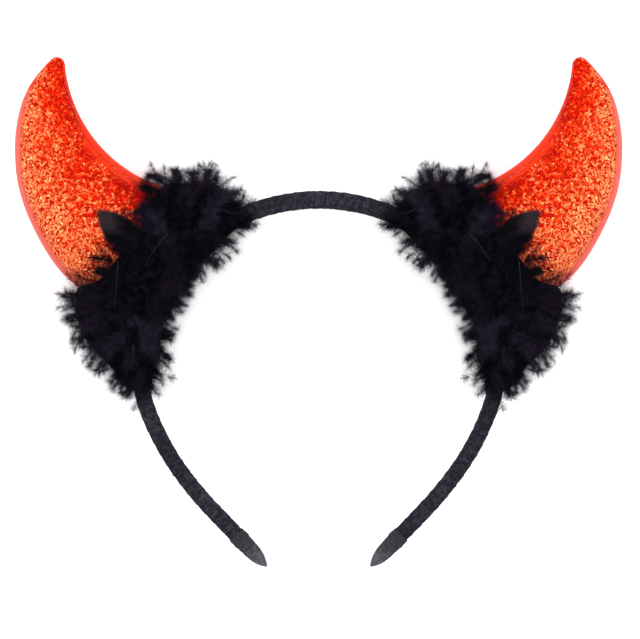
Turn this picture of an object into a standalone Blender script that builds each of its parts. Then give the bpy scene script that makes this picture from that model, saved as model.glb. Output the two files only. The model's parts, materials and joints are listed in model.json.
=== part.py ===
"""Devil horns headband: a ribbon-wound hoop with two padded glitter horns, each in a feather collar.

The headband lies on its back, as it rests on a table. +X runs from the left horn to the right one,
+Y from the open ends of the hoop to its crown, and +Z up, out of the front. All lengths are in metres.
The hoop plane has its own origin, the crown point of its centreline, until root_frame moves it.
"""

import math
import random

import bmesh
import bpy
from mathutils import Matrix, Vector

MM = 0.001

# Fit between neighbouring pieces
GAP = 0.3 * MM

# Hoop: arcs of its centreline from the crown to one end, then a straight tail
CROWN_RADIUS = 72.2 * MM
CROWN_SWEEP = 50
SHOULDER_RADIUS = 55.1 * MM
SHOULDER_SWEEP = 61
TEMPLE_RADIUS = 98.0 * MM
TEMPLE_SWEEP = 15
NAPE_RADIUS = 144.0 * MM
NAPE_SWEEP = 8
TAIL_LENGTH = 28.5 * MM

# Hoop section at the crown: thickness towards the head, width from front to back
BAND_THICKNESS = 6.6 * MM
BAND_WIDTH = 8.0 * MM
BAND_SQUARENESS = 2.7
BAND_SIDES = 12
BAND_STEP = 6.2 * MM
LEG_SLIMNESS = 0.9

# Fabric caps on the ends of the hoop, drawn to a blunt point
CAP_LENGTH = 17.0 * MM
CAP_THICKNESS = 6.3 * MM
CAP_POINT_LENGTH = 9.5 * MM
CAP_WALL = 1.1 * MM
CAP_LEAD = 1.2 * MM
CAP_MOUTH_SHARE = 0.97

# Tongue of the hoop inside a cap, and how far it takes the hoop to step down to it
TONGUE_LENGTH = 7.0 * MM
TONGUE_STEP = 0.2 * MM
CUT_OVERRUN = 2.0 * MM

# Section of a cap towards its point: share of the pointed stretch still ahead, share of the full section
CAP_TAPER = (
    {"ahead": 1.0, "width": 1.0},
    {"ahead": 0.7, "width": 0.92},
    {"ahead": 0.45, "width": 0.74},
    {"ahead": 0.22, "width": 0.47},
    {"ahead": 0.06, "width": 0.2},
    {"ahead": 0.0, "width": 0.08},
)

# Where the horns stand, as the hoop's turn there, and how far to both sides of it their feet reach
HORN_TURN = 55
HORN_FOOT_SPREAD = 15

# Horn outline: an outer arc and an inner arc, rounded together at the point
# Their centres lie along the hoop and out from it, from where the horn stands
HORN_OUTER_RADIUS = 59.7 * MM
HORN_OUTER_CENTRE = Vector((-37.9 * MM, 23.7 * MM))
HORN_INNER_RADIUS = 53.7 * MM
HORN_INNER_CENTRE = Vector((-79.1 * MM, 36.6 * MM))
HORN_POINT_RADIUS = 3.1 * MM
HORN_ROOT_ANGLE = -17
HORN_DEPTH = 23.0 * MM
HORN_SECTIONS = 18

# How far the outer edge swells out of its arc along the horn, as shares of HORN_SWELL
HORN_SWELL = 1.4 * MM
HORN_SWELLS = (
    {"along": 0.0, "swell": 0.0},
    {"along": 0.25, "swell": -0.1},
    {"along": 0.33, "swell": -0.64},
    {"along": 0.4, "swell": -0.9},
    {"along": 0.48, "swell": -0.79},
    {"along": 0.57, "swell": -0.46},
    {"along": 0.65, "swell": -0.18},
    {"along": 0.73, "swell": 0.29},
    {"along": 0.8, "swell": 0.71},
    {"along": 0.85, "swell": 0.95},
    {"along": 0.9, "swell": 0.82},
    {"along": 0.95, "swell": 0.43},
    {"along": 1.0, "swell": 0.0},
)

# Half depth of the horn along its length, as shares of half of HORN_DEPTH
HORN_FULLNESS = (
    {"along": 0.0, "depth": 0.95},
    {"along": 0.25, "depth": 1.0},
    {"along": 0.5, "depth": 0.88},
    {"along": 0.75, "depth": 0.62},
    {"along": 0.9, "depth": 0.4},
    {"along": 1.0, "depth": 0.2},
)

# One quarter of the horn's padded section, as shares of the half chord and of the half depth
HORN_QUARTER = (
    {"across": 0.86, "depth": 0.56},
    {"across": 0.6, "depth": 0.84},
    {"across": 0.3, "depth": 0.97},
)

# Edge of the padding, no deeper than this share of the section
HORN_EDGE_SHARE = 0.85

# Stations on the horn's rounded point, as shares of its arc
POINT_SHARES = (0.35, 0.7)

# Plain satin strip round the horn's edge
EDGE_STRIP_WIDTH = 2.4 * MM
EDGE_STRIP_DEPTH = 4.6 * MM
EDGE_STRIP_NARROWS_FROM = 0.7
EDGE_STRIP_AT_POINT = 0.4
EDGE_SEAM_STEP = 0.4 * MM

# One quarter of the strip's section: inset as a share of its width, depth as a share of its half depth
EDGE_STRIP_QUARTER = (
    {"inset": 1.0, "depth": 1.0},
    {"inset": 0.45, "depth": 0.86},
    {"inset": 0.0, "depth": 0.4},
)

# Feather collar: the dense heart of the feathers, on the hoop and round the foot of the horn
COLLAR_TOWARDS_CROWN = 38.4 * MM
COLLAR_TOWARDS_END = 44.2 * MM
COLLAR_INSIDE = 12.0 * MM
COLLAR_OUTSIDE = 30.0 * MM
COLLAR_WALL = 2.8 * MM
COLLAR_DEPTH = HORN_DEPTH / 2 + GAP + COLLAR_WALL
COLLAR_SQUARENESS = 2.4
COLLAR_SIDES = 14

# Sections of the collar along the hoop: reach towards the head, away from it, and to front and back
COLLAR_SECTIONS = (
    {"along": 0.0, "inside": 0.35, "outside": 0.3, "depth": 0.42},
    {"along": 0.04, "inside": 0.42, "outside": 0.52, "depth": 0.58},
    {"along": 0.1, "inside": 0.5, "outside": 0.74, "depth": 0.76},
    {"along": 0.18, "inside": 0.62, "outside": 0.93, "depth": 0.9},
    {"along": 0.27, "inside": 0.74, "outside": 0.98, "depth": 0.98},
    {"along": 0.37, "inside": 0.78, "outside": 0.88, "depth": 1.0},
    {"along": 0.48, "inside": 0.72, "outside": 0.85, "depth": 1.0},
    {"along": 0.58, "inside": 0.8, "outside": 0.83, "depth": 1.0},
    {"along": 0.67, "inside": 0.92, "outside": 1.0, "depth": 0.97},
    {"along": 0.75, "inside": 1.0, "outside": 0.9, "depth": 0.92},
    {"along": 0.83, "inside": 0.98, "outside": 0.74, "depth": 0.84},
    {"along": 0.91, "inside": 0.8, "outside": 0.52, "depth": 0.7},
    {"along": 0.97, "inside": 0.56, "outside": 0.34, "depth": 0.54},
    {"along": 1.0, "inside": 0.36, "outside": 0.18, "depth": 0.4},
)

# Locks of feather barbs fused to the collar
LOCK_SPACING = 12.0 * MM
LOCK_LENGTH = 6.4 * MM
LOCK_WIDTH = 10.0 * MM
LOCK_FLATNESS = 0.6
LOCK_ROOT_DEPTH = 2.8 * MM
LOCK_SIDES = 4
LOCK_SEED = 7

# How far a lock bends sideways, as a share of its length, and how far outwards it bends for that
LOCK_SWEEP = 0.7
LOCK_OUTWARD = 0.6

# How far the locks at the ends of a collar lean along the hoop
LOCK_SPLAY = 0.5

# Scatter of the locks: share of the spacing along the hoop and round it, and shortest and longest length
LOCK_SHIFT_ALONG = 0.15
LOCK_SHIFT_AROUND = 0.3
LOCK_SHORTEST = 0.75
LOCK_LONGEST = 1.15

# First and last place of a lock, as shares of the collar's length
LOCK_FIRST = 0.02
LOCK_LAST = 0.98

# Length of a lock towards the head and out of the front, as shares of LOCK_LENGTH
LOCK_INSIDE_SHARE = 0.7
LOCK_FRONT_SHARE = 0.75

# Half width of a lock along its length, as shares of half of LOCK_WIDTH
LOCK_TAPER = (
    {"along": 0.0, "width": 1.0},
    {"along": 0.45, "width": 0.8},
    {"along": 0.8, "width": 0.4},
)

# Height of the hoop's middle plane over the surface that the flattened locks behind the collars rest on
LOCKS_UNDERNEATH = 2.4 * MM
HOOP_HEIGHT = COLLAR_DEPTH + LOCKS_UNDERNEATH

# The one broad feather that lies on the front of each horn, headed at an angle to straight outwards
BLADE_LENGTH = 27.0 * MM
BLADE_WIDTH = 13.0 * MM
BLADE_THICKNESS = 1.2 * MM
BLADE_SIDES = 6
BLADE_ALONG = -3.3 * MM
BLADE_OUT = 10.2 * MM
BLADE_HEADING = -6.5
BLADE_ARCH = 0.6 * MM

# Half width of the broad feather along its length, as shares of half of BLADE_WIDTH
BLADE_TAPER = (
    {"along": 0.0, "width": 0.55},
    {"along": 0.3, "width": 0.95},
    {"along": 0.55, "width": 0.93},
    {"along": 0.8, "width": 0.56},
    {"along": 1.0, "width": 0.06},
)

COLOURS = {
    "wrapped fabric": {"colour": (0.032, 0.029, 0.040, 1), "roughness": 0.85, "metallic": 0.0},
    "red glitter fabric": {"colour": (0.80, 0.075, 0.018, 1), "roughness": 0.35, "metallic": 0.4},
    "red satin edge": {"colour": (0.85, 0.16, 0.10, 1), "roughness": 0.5, "metallic": 0.0},
    "black marabou": {"colour": (0.008, 0.008, 0.012, 1), "roughness": 0.9, "metallic": 0.0},
}


def clear_scene():
    """Removes what the startup file holds."""
    for obj in list(bpy.data.objects):
        bpy.data.objects.remove(obj)


def material(name):
    """A Principled material with the colour, roughness and metallic value of that finish."""
    found = bpy.data.materials.get(name)
    if found:
        return found
    made = bpy.data.materials.new(name)
    made.use_nodes = True
    shader = made.node_tree.nodes["Principled BSDF"]
    finish = COLOURS[name]
    shader.inputs["Base Color"].default_value = finish["colour"]
    shader.inputs["Roughness"].default_value = finish["roughness"]
    shader.inputs["Metallic"].default_value = finish["metallic"]
    return made


def table_value(table, column, along):
    """The column of a short table at that share of the length, between its rows."""
    for row, after in zip(table, table[1:]):
        if along <= after["along"]:
            share = (along - row["along"]) / (after["along"] - row["along"])
            return row[column] + share * (after[column] - row[column])
    return table[-1][column]


# Hoop geometry


def hoop_arcs():
    """The hoop's arcs from the crown to one end, as radius and sweep in radians."""
    return (
        (CROWN_RADIUS, math.radians(CROWN_SWEEP)),
        (SHOULDER_RADIUS, math.radians(SHOULDER_SWEEP)),
        (TEMPLE_RADIUS, math.radians(TEMPLE_SWEEP)),
        (NAPE_RADIUS, math.radians(NAPE_SWEEP)),
    )


def hoop_half_length():
    """Length of the centreline from the crown to the point of one end cap."""
    return sum(radius * sweep for radius, sweep in hoop_arcs()) + TAIL_LENGTH


def hoop_at(distance):
    """Centreline point of the right half at a distance from the crown, and the turn there in radians."""
    point = Vector((0, 0))
    turned = 0.0
    left = distance
    for radius, sweep in hoop_arcs():
        step = min(sweep, left / radius)
        point += radius * Vector(
            (math.sin(turned + step) - math.sin(turned), math.cos(turned + step) - math.cos(turned))
        )
        turned += step
        left -= step * radius
        if left <= 0:
            return point, turned
    return point + left * Vector((math.cos(turned), -math.sin(turned))), turned


def hoop_distance(turn_degrees):
    """Distance from the crown at which the hoop has turned by that many degrees."""
    left = math.radians(turn_degrees)
    distance = 0.0
    for radius, sweep in hoop_arcs():
        distance += radius * min(sweep, left)
        left -= sweep
        if left <= 0:
            break
    return distance


def along_hoop(turned):
    """Unit vector along the right half of the hoop, away from the crown."""
    return Vector((math.cos(turned), -math.sin(turned)))


def out_of_hoop(turned):
    """Unit vector in the hoop plane that points away from the head."""
    return Vector((math.sin(turned), math.cos(turned)))


def band_profile(name, thickness, width):
    """Closed guide curve with the hoop's rounded section, flat towards the head and away from it."""
    curve = bpy.data.curves.new(name, "CURVE")
    curve.dimensions = "2D"
    spline = curve.splines.new("POLY")
    spline.points.add(BAND_SIDES - 1)
    spline.use_cyclic_u = True
    for index in range(BAND_SIDES):
        angle = 2 * math.pi * (index + 0.5) / BAND_SIDES
        c, s = math.cos(angle), math.sin(angle)
        across = math.copysign(abs(c) ** (2 / BAND_SQUARENESS), c) * thickness / 2
        deep = math.copysign(abs(s) ** (2 / BAND_SQUARENESS), s) * width / 2
        spline.points[index].co = (across, deep, 0, 1)
    guide = bpy.data.objects.new(name, curve)
    guide.hide_render = True
    guide.display_type = "WIRE"
    return guide


def swept_curve(name, points, radii, profile):
    """Curve object that carries the profile along the points, scaled by a radius at each."""
    curve = bpy.data.curves.new(name, "CURVE")
    curve.dimensions = "3D"
    curve.twist_mode = "Z_UP"
    curve.bevel_mode = "OBJECT"
    curve.bevel_object = profile
    curve.use_fill_caps = True
    spline = curve.splines.new("POLY")
    spline.points.add(len(points) - 1)
    for knot, point, radius in zip(spline.points, points, radii):
        knot.co = (*point, 1)
        knot.radius = radius
    return bpy.data.objects.new(name, curve)


def as_mesh_object(obj, collection):
    """Mesh object with the curve's evaluated shape and its caps welded; the curve is removed."""
    collection.objects.link(obj)
    bpy.context.view_layer.update()
    evaluated = obj.evaluated_get(bpy.context.evaluated_depsgraph_get())
    mesh = bpy.data.meshes.new_from_object(evaluated)
    name = obj.name
    made = bpy.data.objects.new(name, mesh)
    made.matrix_world = obj.matrix_world
    bpy.data.objects.remove(obj)
    made.name = name
    shell = bmesh.new()
    shell.from_mesh(mesh)
    bmesh.ops.remove_doubles(shell, verts=shell.verts, dist=0.001 * MM)
    bmesh.ops.recalc_face_normals(shell, faces=shell.faces)
    shell.to_mesh(mesh)
    shell.free()
    collection.objects.link(made)
    return made


def loft(name, rings, collection, side=1, end_point=None):
    """Closed mesh through rings of points with the same count, capped flat or drawn to an end point."""
    shell = bmesh.new()
    mirrored = Matrix.Diagonal((side, 1, 1))
    corners = [[shell.verts.new(mirrored @ Vector(point)) for point in ring] for ring in rings]
    for ring, after in zip(corners, corners[1:]):
        bmesh.ops.bridge_loops(shell, edges=ring_edges(shell, ring) + ring_edges(shell, after))
    shell.faces.new(corners[0])
    if end_point is None:
        shell.faces.new(corners[-1])
    else:
        tip = shell.verts.new(mirrored @ Vector(end_point))
        last = corners[-1]
        for corner, after in zip(last, last[1:] + last[:1]):
            shell.faces.new((corner, after, tip))
    bmesh.ops.recalc_face_normals(shell, faces=shell.faces)
    mesh = bpy.data.meshes.new(name)
    shell.to_mesh(mesh)
    shell.free()
    obj = bpy.data.objects.new(name, mesh)
    collection.objects.link(obj)
    return obj


def ring_edges(shell, ring):
    """The edges that close a ring of vertices, made once."""
    edges = []
    for corner, after in zip(ring, ring[1:] + ring[:1]):
        edges.append(shell.edges.get((corner, after)) or shell.edges.new((corner, after)))
    return edges


def boolean(obj, operation, other=None, collection=None):
    """Cuts or joins with an object or a whole collection, and applies it to the mesh."""
    modifier = obj.modifiers.new(operation, "BOOLEAN")
    modifier.operation = operation
    modifier.solver = "EXACT"
    if collection:
        modifier.operand_type = "COLLECTION"
        modifier.collection = collection
    else:
        modifier.object = other
    bpy.context.view_layer.update()
    evaluated = obj.evaluated_get(bpy.context.evaluated_depsgraph_get())
    obj.data = bpy.data.meshes.new_from_object(evaluated)
    obj.modifiers.clear()


def finish_piece(obj, name, finish, smooth_degrees=40):
    """Names the piece, gives it its material and shades it smooth."""
    obj.name = name
    obj.data.name = name
    obj.data.materials.clear()
    obj.data.materials.append(material(finish))
    if obj.type == "MESH":
        obj.data.shade_smooth()
        obj.data.set_sharp_from_angle(angle=math.radians(smooth_degrees))
    return obj


# Hoop and end caps


def leg_share(distance):
    """Share of the crown section that the hoop keeps at that distance, slimmer down the legs."""
    shoulder_end = hoop_distance(CROWN_SWEEP + SHOULDER_SWEEP)
    return 1 - (1 - LEG_SLIMNESS) * min(1, distance / shoulder_end)


def tongue_share():
    """Share of the crown section left for the tongue inside an end cap."""
    return (CAP_THICKNESS - 2 * CAP_WALL - 2 * GAP) / BAND_THICKNESS


def half_hoop_stations():
    """Distances and section shares from beside the crown to the end of the tongue."""
    shoulder = hoop_half_length() - CAP_LENGTH - GAP
    count = round(shoulder / BAND_STEP)
    step = shoulder / (count - 0.5)
    stations = [(step * (index + 0.5), leg_share(step * (index + 0.5))) for index in range(count)]
    tongue = (shoulder + TONGUE_STEP, shoulder + TONGUE_LENGTH)
    return stations + [(distance, tongue_share()) for distance in tongue]


def make_band(pieces, guides):
    """The wrapped hoop, one piece from tongue to tongue."""
    profile = band_profile("band_section", BAND_THICKNESS, BAND_WIDTH)
    guides.objects.link(profile)
    right = [(hoop_at(distance)[0], share) for distance, share in half_hoop_stations()]
    whole = [(Vector((-point.x, point.y)), share) for point, share in reversed(right)] + right
    points = [(point.x, point.y, 0) for point, _ in whole]
    band = as_mesh_object(swept_curve("headband", points, [share for _, share in whole], profile), pieces)
    return finish_piece(band, "headband", "wrapped fabric")


def band_cutter(name, clearance, guides):
    """Mesh of the hoop grown by a clearance, to cut its seat in what surrounds it."""
    profile = band_profile(name + "_section", BAND_THICKNESS + 2 * clearance, BAND_WIDTH + 2 * clearance)
    guides.objects.link(profile)
    reach = hoop_distance(CROWN_SWEEP + SHOULDER_SWEEP + TEMPLE_SWEEP)
    count = round(reach / BAND_STEP) * 2
    distances = [reach * index / count for index in range(count + 1)]
    right = [(hoop_at(distance)[0], leg_share(distance)) for distance in distances]
    whole = [(Vector((-point.x, point.y)), share) for point, share in reversed(right[1:])] + right
    points = [(point.x, point.y, 0) for point, _ in whole]
    return as_mesh_object(swept_curve(name, points, [share for _, share in whole], profile), guides)


def make_end_cap(name, side, pieces, guides):
    """Pointed fabric cap over the tongue of the hoop."""
    length = hoop_half_length()
    start = length - CAP_LENGTH
    full = CAP_THICKNESS / BAND_THICKNESS
    shape = [(start, CAP_MOUTH_SHARE * full), (start + CAP_LEAD, full)]
    shape += [(length - CAP_POINT_LENGTH * row["ahead"], full * row["width"]) for row in CAP_TAPER]
    profile = band_profile(name + "_section", BAND_THICKNESS, BAND_WIDTH)
    guides.objects.link(profile)
    points = [(side * hoop_at(distance)[0].x, hoop_at(distance)[0].y, 0) for distance, _ in shape]
    cap = as_mesh_object(swept_curve(name, points, [share for _, share in shape], profile), pieces)
    grown = tongue_share() + 2 * GAP / BAND_THICKNESS
    socket_ends = (start - CUT_OVERRUN, start + TONGUE_LENGTH + GAP)
    socket_points = [(side * hoop_at(end)[0].x, hoop_at(end)[0].y, 0) for end in socket_ends]
    socket = as_mesh_object(swept_curve(name + "_socket", socket_points, [grown, grown], profile), guides)
    boolean(cap, "DIFFERENCE", socket)
    return finish_piece(cap, name, "wrapped fabric")


# Horns


def on_horn_stand(along, out):
    """Point of the hoop plane that far along the hoop and out from it, from where the right horn stands."""
    point, turned = hoop_at(hoop_distance(HORN_TURN))
    return point + along * along_hoop(turned) + out * out_of_hoop(turned)


def horn_point_centre():
    """Centre of the small circle that rounds the outer and the inner arc together."""
    outer = HORN_OUTER_RADIUS - HORN_POINT_RADIUS
    inner = HORN_INNER_RADIUS + HORN_POINT_RADIUS
    outer_centre = on_horn_stand(*HORN_OUTER_CENTRE)
    between = on_horn_stand(*HORN_INNER_CENTRE) - outer_centre
    along = (outer**2 - inner**2 + between.length_squared) / (2 * between.length)
    aside = math.sqrt(outer**2 - along**2)
    unit = between.normalized()
    return outer_centre + along * unit + aside * Vector((unit.y, -unit.x))


def on_circle(centre, radius, angle):
    """Point of a circle in the hoop plane."""
    return centre + radius * Vector((math.cos(angle), math.sin(angle)))


def heading(vector):
    """Angle of a vector in the hoop plane."""
    return math.atan2(vector.y, vector.x)


def horn_edges(along, inset):
    """Outer and inner edge point of a horn section, set in from the outline, from root 0 to point 1."""
    point_centre = horn_point_centre()
    root = math.radians(HORN_ROOT_ANGLE - HORN_TURN)
    outer_radius = HORN_OUTER_RADIUS + HORN_SWELL * table_value(HORN_SWELLS, "swell", along)
    ends = []
    arcs = ((HORN_OUTER_CENTRE, outer_radius - inset), (HORN_INNER_CENTRE, HORN_INNER_RADIUS + inset))
    for offset, radius in arcs:
        centre = on_horn_stand(*offset)
        ends.append(on_circle(centre, radius, root + along * (heading(point_centre - centre) - root)))
    return ends


def horn_foot(inset):
    """Edge points of the horn's foot, on the hoop's centreline."""
    ends = []
    for way in (1, -1):
        point, turned = hoop_at(hoop_distance(HORN_TURN + way * HORN_FOOT_SPREAD))
        ends.append(point - way * inset * along_hoop(turned))
    return ends


def point_arc(share, inset):
    """Edge points on the rounded point: share is 0 where it leaves the arcs and 1 at its end."""
    centre = horn_point_centre()
    start = heading(centre - on_horn_stand(*HORN_OUTER_CENTRE))
    end = heading(on_horn_stand(*HORN_INNER_CENTRE) - centre)
    turn = (end - start) % (2 * math.pi)
    radius = HORN_POINT_RADIUS - inset
    outer = on_circle(centre, radius, start + share * turn / 2)
    inner = on_circle(centre, radius, end - share * turn / 2)
    return outer, inner


def strip_width(along):
    """Width of the satin edge strip: full along the horn, narrow round its point."""
    narrowing = max(0, (along - EDGE_STRIP_NARROWS_FROM) / (1 - EDGE_STRIP_NARROWS_FROM))
    return EDGE_STRIP_WIDTH * (1 - (1 - EDGE_STRIP_AT_POINT) * narrowing)


def horn_stations(inset_of):
    """Share of the length, outer edge and inner edge of each horn section, from the foot to the point."""
    stations = [(0.0, *horn_foot(inset_of(0)))]
    for index in range(HORN_SECTIONS + 1):
        along = index / HORN_SECTIONS
        stations.append((along, *horn_edges(along, inset_of(along))))
    return stations + [(1.0, *point_arc(share, inset_of(1))) for share in POINT_SHARES]


def section_ring(outer, inner, half_depth, edge_half):
    """Padded horn section: a flat edge at both ends of the chord and a rounded front and back."""
    middle = (outer + inner) / 2
    half_chord = (outer - inner) / 2
    edge = min(edge_half, HORN_EDGE_SHARE * half_depth)
    quarter = [(1.0, edge)]
    for row in HORN_QUARTER:
        quarter.append((row["across"], max(edge, row["depth"] * half_depth)))
    half = quarter + [(0.0, half_depth)] + [(-across, depth) for across, depth in reversed(quarter)]
    full = half + [(across, -depth) for across, depth in reversed(half)]
    return [(*(middle + across * half_chord), depth) for across, depth in full]


def horn_solid(name, side, collection, inset_of, grow=0.0):
    """Lofted horn, with its outline set in by inset_of and its depth grown on both faces."""
    edge_half = EDGE_STRIP_DEPTH / 2 + EDGE_SEAM_STEP + grow
    rings = []
    for along, outer, inner in horn_stations(inset_of):
        half_depth = HORN_DEPTH / 2 * table_value(HORN_FULLNESS, "depth", along) + grow
        rings.append(section_ring(outer, inner, half_depth, edge_half))
    tip = point_arc(1.0, inset_of(1))[0]
    return loft(name, rings, collection, side, end_point=(*tip, 0))


def make_horn(name, side, pieces, seat):
    """Padded glitter horn, seated on the hoop."""
    horn = horn_solid(name, side, pieces, lambda along: strip_width(along) + GAP)
    boolean(horn, "DIFFERENCE", seat)
    return finish_piece(horn, name, "red glitter fabric")


def edge_path(share):
    """Edge points from the outer foot round the point to the inner foot, set in by a share of the strip."""
    stations = horn_stations(lambda along: share * strip_width(along))
    tip = (1.0, point_arc(1.0, share * strip_width(1))[0])
    outer_side = [(along, outer) for along, outer, _ in stations]
    inner_side = [(along, inner) for along, _, inner in reversed(stations)]
    return outer_side + [tip] + inner_side


def make_edge_strip(name, side, pieces, seat):
    """Satin strip that closes the horn's edge, rounded outside and flat against the padding."""
    paths = [edge_path(row["inset"]) for row in EDGE_STRIP_QUARTER]
    depths = [row["depth"] * EDGE_STRIP_DEPTH / 2 for row in EDGE_STRIP_QUARTER]
    rings = []
    for stations in zip(*paths):
        along = stations[0][0]
        thinning = math.sqrt(strip_width(along) / EDGE_STRIP_WIDTH)
        front = [(*point, depth * thinning) for (_, point), depth in zip(stations, depths)]
        rings.append(front + [(x, y, -depth) for x, y, depth in reversed(front)])
    strip = loft(name, rings, pieces, side)
    boolean(strip, "DIFFERENCE", seat)
    return finish_piece(strip, name, "red satin edge")


# Feather collars


def collar_section(share):
    """Middle, outward direction, half width and half depth of the collar at a share of its length."""
    start = hoop_distance(HORN_TURN) - COLLAR_TOWARDS_CROWN
    point, turned = hoop_at(start + share * (COLLAR_TOWARDS_CROWN + COLLAR_TOWARDS_END))
    inside = COLLAR_INSIDE * table_value(COLLAR_SECTIONS, "inside", share)
    outside = COLLAR_OUTSIDE * table_value(COLLAR_SECTIONS, "outside", share)
    depth = COLLAR_DEPTH * table_value(COLLAR_SECTIONS, "depth", share)
    out = out_of_hoop(turned)
    return point + (outside - inside) / 2 * out, out, (outside + inside) / 2, depth


def collar_point(share, angle):
    """Point of the collar's surface at a share of its length and an angle round it, 0 being outwards."""
    middle, out, half_width, depth = collar_section(share)
    c, s = math.cos(angle), math.sin(angle)
    across = math.copysign(abs(c) ** (2 / COLLAR_SQUARENESS), c) * half_width
    up = math.copysign(abs(s) ** (2 / COLLAR_SQUARENESS), s) * depth
    return Vector((*(middle + across * out), up))


def above_floor(point, radius):
    """The point raised so that a ball of that radius about it clears what the headband lies on."""
    return Vector((point.x, point.y, max(point.z, radius - HOOP_HEIGHT)))


def lock_rings(root, away, sweep, length):
    """Rings and end point of one lock of barbs, a bent flat spike that turns aside at the floor."""
    across = away.cross(sweep).normalized()
    up = across.cross(away).normalized() * LOCK_FLATNESS
    angles = [2 * math.pi * index / LOCK_SIDES for index in range(LOCK_SIDES)]
    rings = []
    for row in LOCK_TAPER:
        share = row["along"]
        radius = row["width"] * LOCK_WIDTH / 2
        centre = root + (away * share + sweep * LOCK_SWEEP * share * share) * length
        spokes = [radius * (math.cos(angle) * across + math.sin(angle) * up) for angle in angles]
        lift = above_floor(centre, max(abs(spoke.z) for spoke in spokes))
        rings.append([lift + spoke for spoke in spokes])
    return rings, above_floor(root + (away + sweep * LOCK_SWEEP) * length, 0)


def lock_seeds():
    """Root, direction, sweep and length of every lock of one collar, on the right side."""
    chance = random.Random(LOCK_SEED)
    seeds = []
    count = round((COLLAR_TOWARDS_CROWN + COLLAR_TOWARDS_END) / LOCK_SPACING)
    for step in range(count + 1):
        shift = chance.uniform(-LOCK_SHIFT_ALONG, LOCK_SHIFT_ALONG)
        share = min(LOCK_LAST, max(LOCK_FIRST, (step + shift) / count))
        _, out, half_width, depth = collar_section(share)
        along = Vector((out.y, -out.x, 0))
        girth = 2 * math.pi * math.sqrt((half_width**2 + depth**2) / 2)
        around = max(4, round(girth / LOCK_SPACING))
        for index in range(around):
            shift = step % 2 / 2 + LOCK_SHIFT_AROUND * chance.random()
            angle = 2 * math.pi * (index + shift) / around
            splay = LOCK_SPLAY * (2 * share - 1) ** 3
            away = Vector((*(math.cos(angle) * out), math.sin(angle))) + splay * along
            away.normalize()
            facing = away.xy.dot(out)
            other = 1 if facing > 0 else LOCK_INSIDE_SHARE
            reach = LOCK_FRONT_SHARE + abs(facing) * (other - LOCK_FRONT_SHARE)
            sweep = chance.choice((-1, 1)) * along + LOCK_OUTWARD * Vector((*out, 0))
            length = LOCK_LENGTH * reach * chance.uniform(LOCK_SHORTEST, LOCK_LONGEST)
            seeds.append((collar_point(share, angle), away, sweep.normalized(), length))
    return seeds


def blade_rings():
    """Rings of the broad feather, a thin leaf that rises from the collar over the front of the horn."""
    _, turned = hoop_at(hoop_distance(HORN_TURN))
    heading_angle = math.radians(BLADE_HEADING)
    run = math.cos(heading_angle) * out_of_hoop(turned) + math.sin(heading_angle) * along_hoop(turned)
    across = Vector((-run.y, run.x))
    root = on_horn_stand(BLADE_ALONG, BLADE_OUT)
    rest = HORN_DEPTH / 2 + GAP + BLADE_THICKNESS
    round_rise = BLADE_THICKNESS / 2 / math.sin(2 * math.pi / BLADE_SIDES)
    rings = []
    for row in BLADE_TAPER:
        centre = root + run * BLADE_LENGTH * row["along"]
        half = row["width"] * BLADE_WIDTH / 2
        rise = rest + BLADE_ARCH * math.sin(math.pi * row["along"])
        ring = []
        for index in range(BLADE_SIDES):
            angle = 2 * math.pi * index / BLADE_SIDES
            flat = centre + across * half * math.cos(angle)
            ring.append((flat.x, flat.y, rise + round_rise * math.sin(angle)))
        rings.append(ring)
    return rings


def collar_heart(name, side, pieces):
    """Lofted heart of the collar."""
    angles = [2 * math.pi * (index + 0.5) / COLLAR_SIDES for index in range(COLLAR_SIDES)]
    rings = [[collar_point(row["along"], angle) for angle in angles] for row in COLLAR_SECTIONS]
    return loft(name, rings, pieces, side)


def keep_largest_body(obj):
    """Deletes the tips that a cut has parted from the rest."""
    shell = bmesh.new()
    shell.from_mesh(obj.data)
    bodies = []
    waiting = set(shell.faces)
    while waiting:
        body = set()
        front = [waiting.pop()]
        while front:
            face = front.pop()
            body.add(face)
            for edge in face.edges:
                for other in edge.link_faces:
                    if other in waiting:
                        waiting.discard(other)
                        front.append(other)
        bodies.append(body)
    largest = max(bodies, key=len)
    trimmed = [face for body in bodies if body is not largest for face in body]
    bmesh.ops.delete(shell, geom=trimmed, context="FACES")
    shell.to_mesh(obj.data)
    shell.free()


def make_collar(name, side, pieces, guides, band_seat, horn_seat):
    """Feather collar: heart, locks and broad feather in one body, hollow round hoop and horn foot."""
    collar = collar_heart(name, side, pieces)
    locks = bpy.data.collections.new(name + "_locks")
    guides.children.link(locks)
    for index, (surface, away, sweep, length) in enumerate(lock_seeds()):
        root = surface - away * LOCK_ROOT_DEPTH
        rings, end = lock_rings(root, away, sweep, LOCK_ROOT_DEPTH + length)
        loft(f"{name}_lock_{index}", rings, locks, side, end_point=end)
    loft(name + "_blade", blade_rings(), locks, side)
    boolean(collar, "UNION", collection=locks)
    boolean(collar, "DIFFERENCE", band_seat)
    boolean(collar, "DIFFERENCE", horn_seat)
    keep_largest_body(collar)
    return finish_piece(collar, name, "black marabou")


def root_frame(pieces):
    """Parents every piece to an empty that puts the middle of the headband's underside at the origin."""
    highest = horn_point_centre().y + HORN_POINT_RADIUS
    lowest = hoop_at(hoop_half_length())[0].y
    frame = bpy.data.objects.new("headband_frame", None)
    frame.location = (0, -(highest + lowest) / 2, HOOP_HEIGHT)
    pieces.objects.link(frame)
    for obj in pieces.objects:
        if obj is not frame:
            obj.parent = frame


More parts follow.
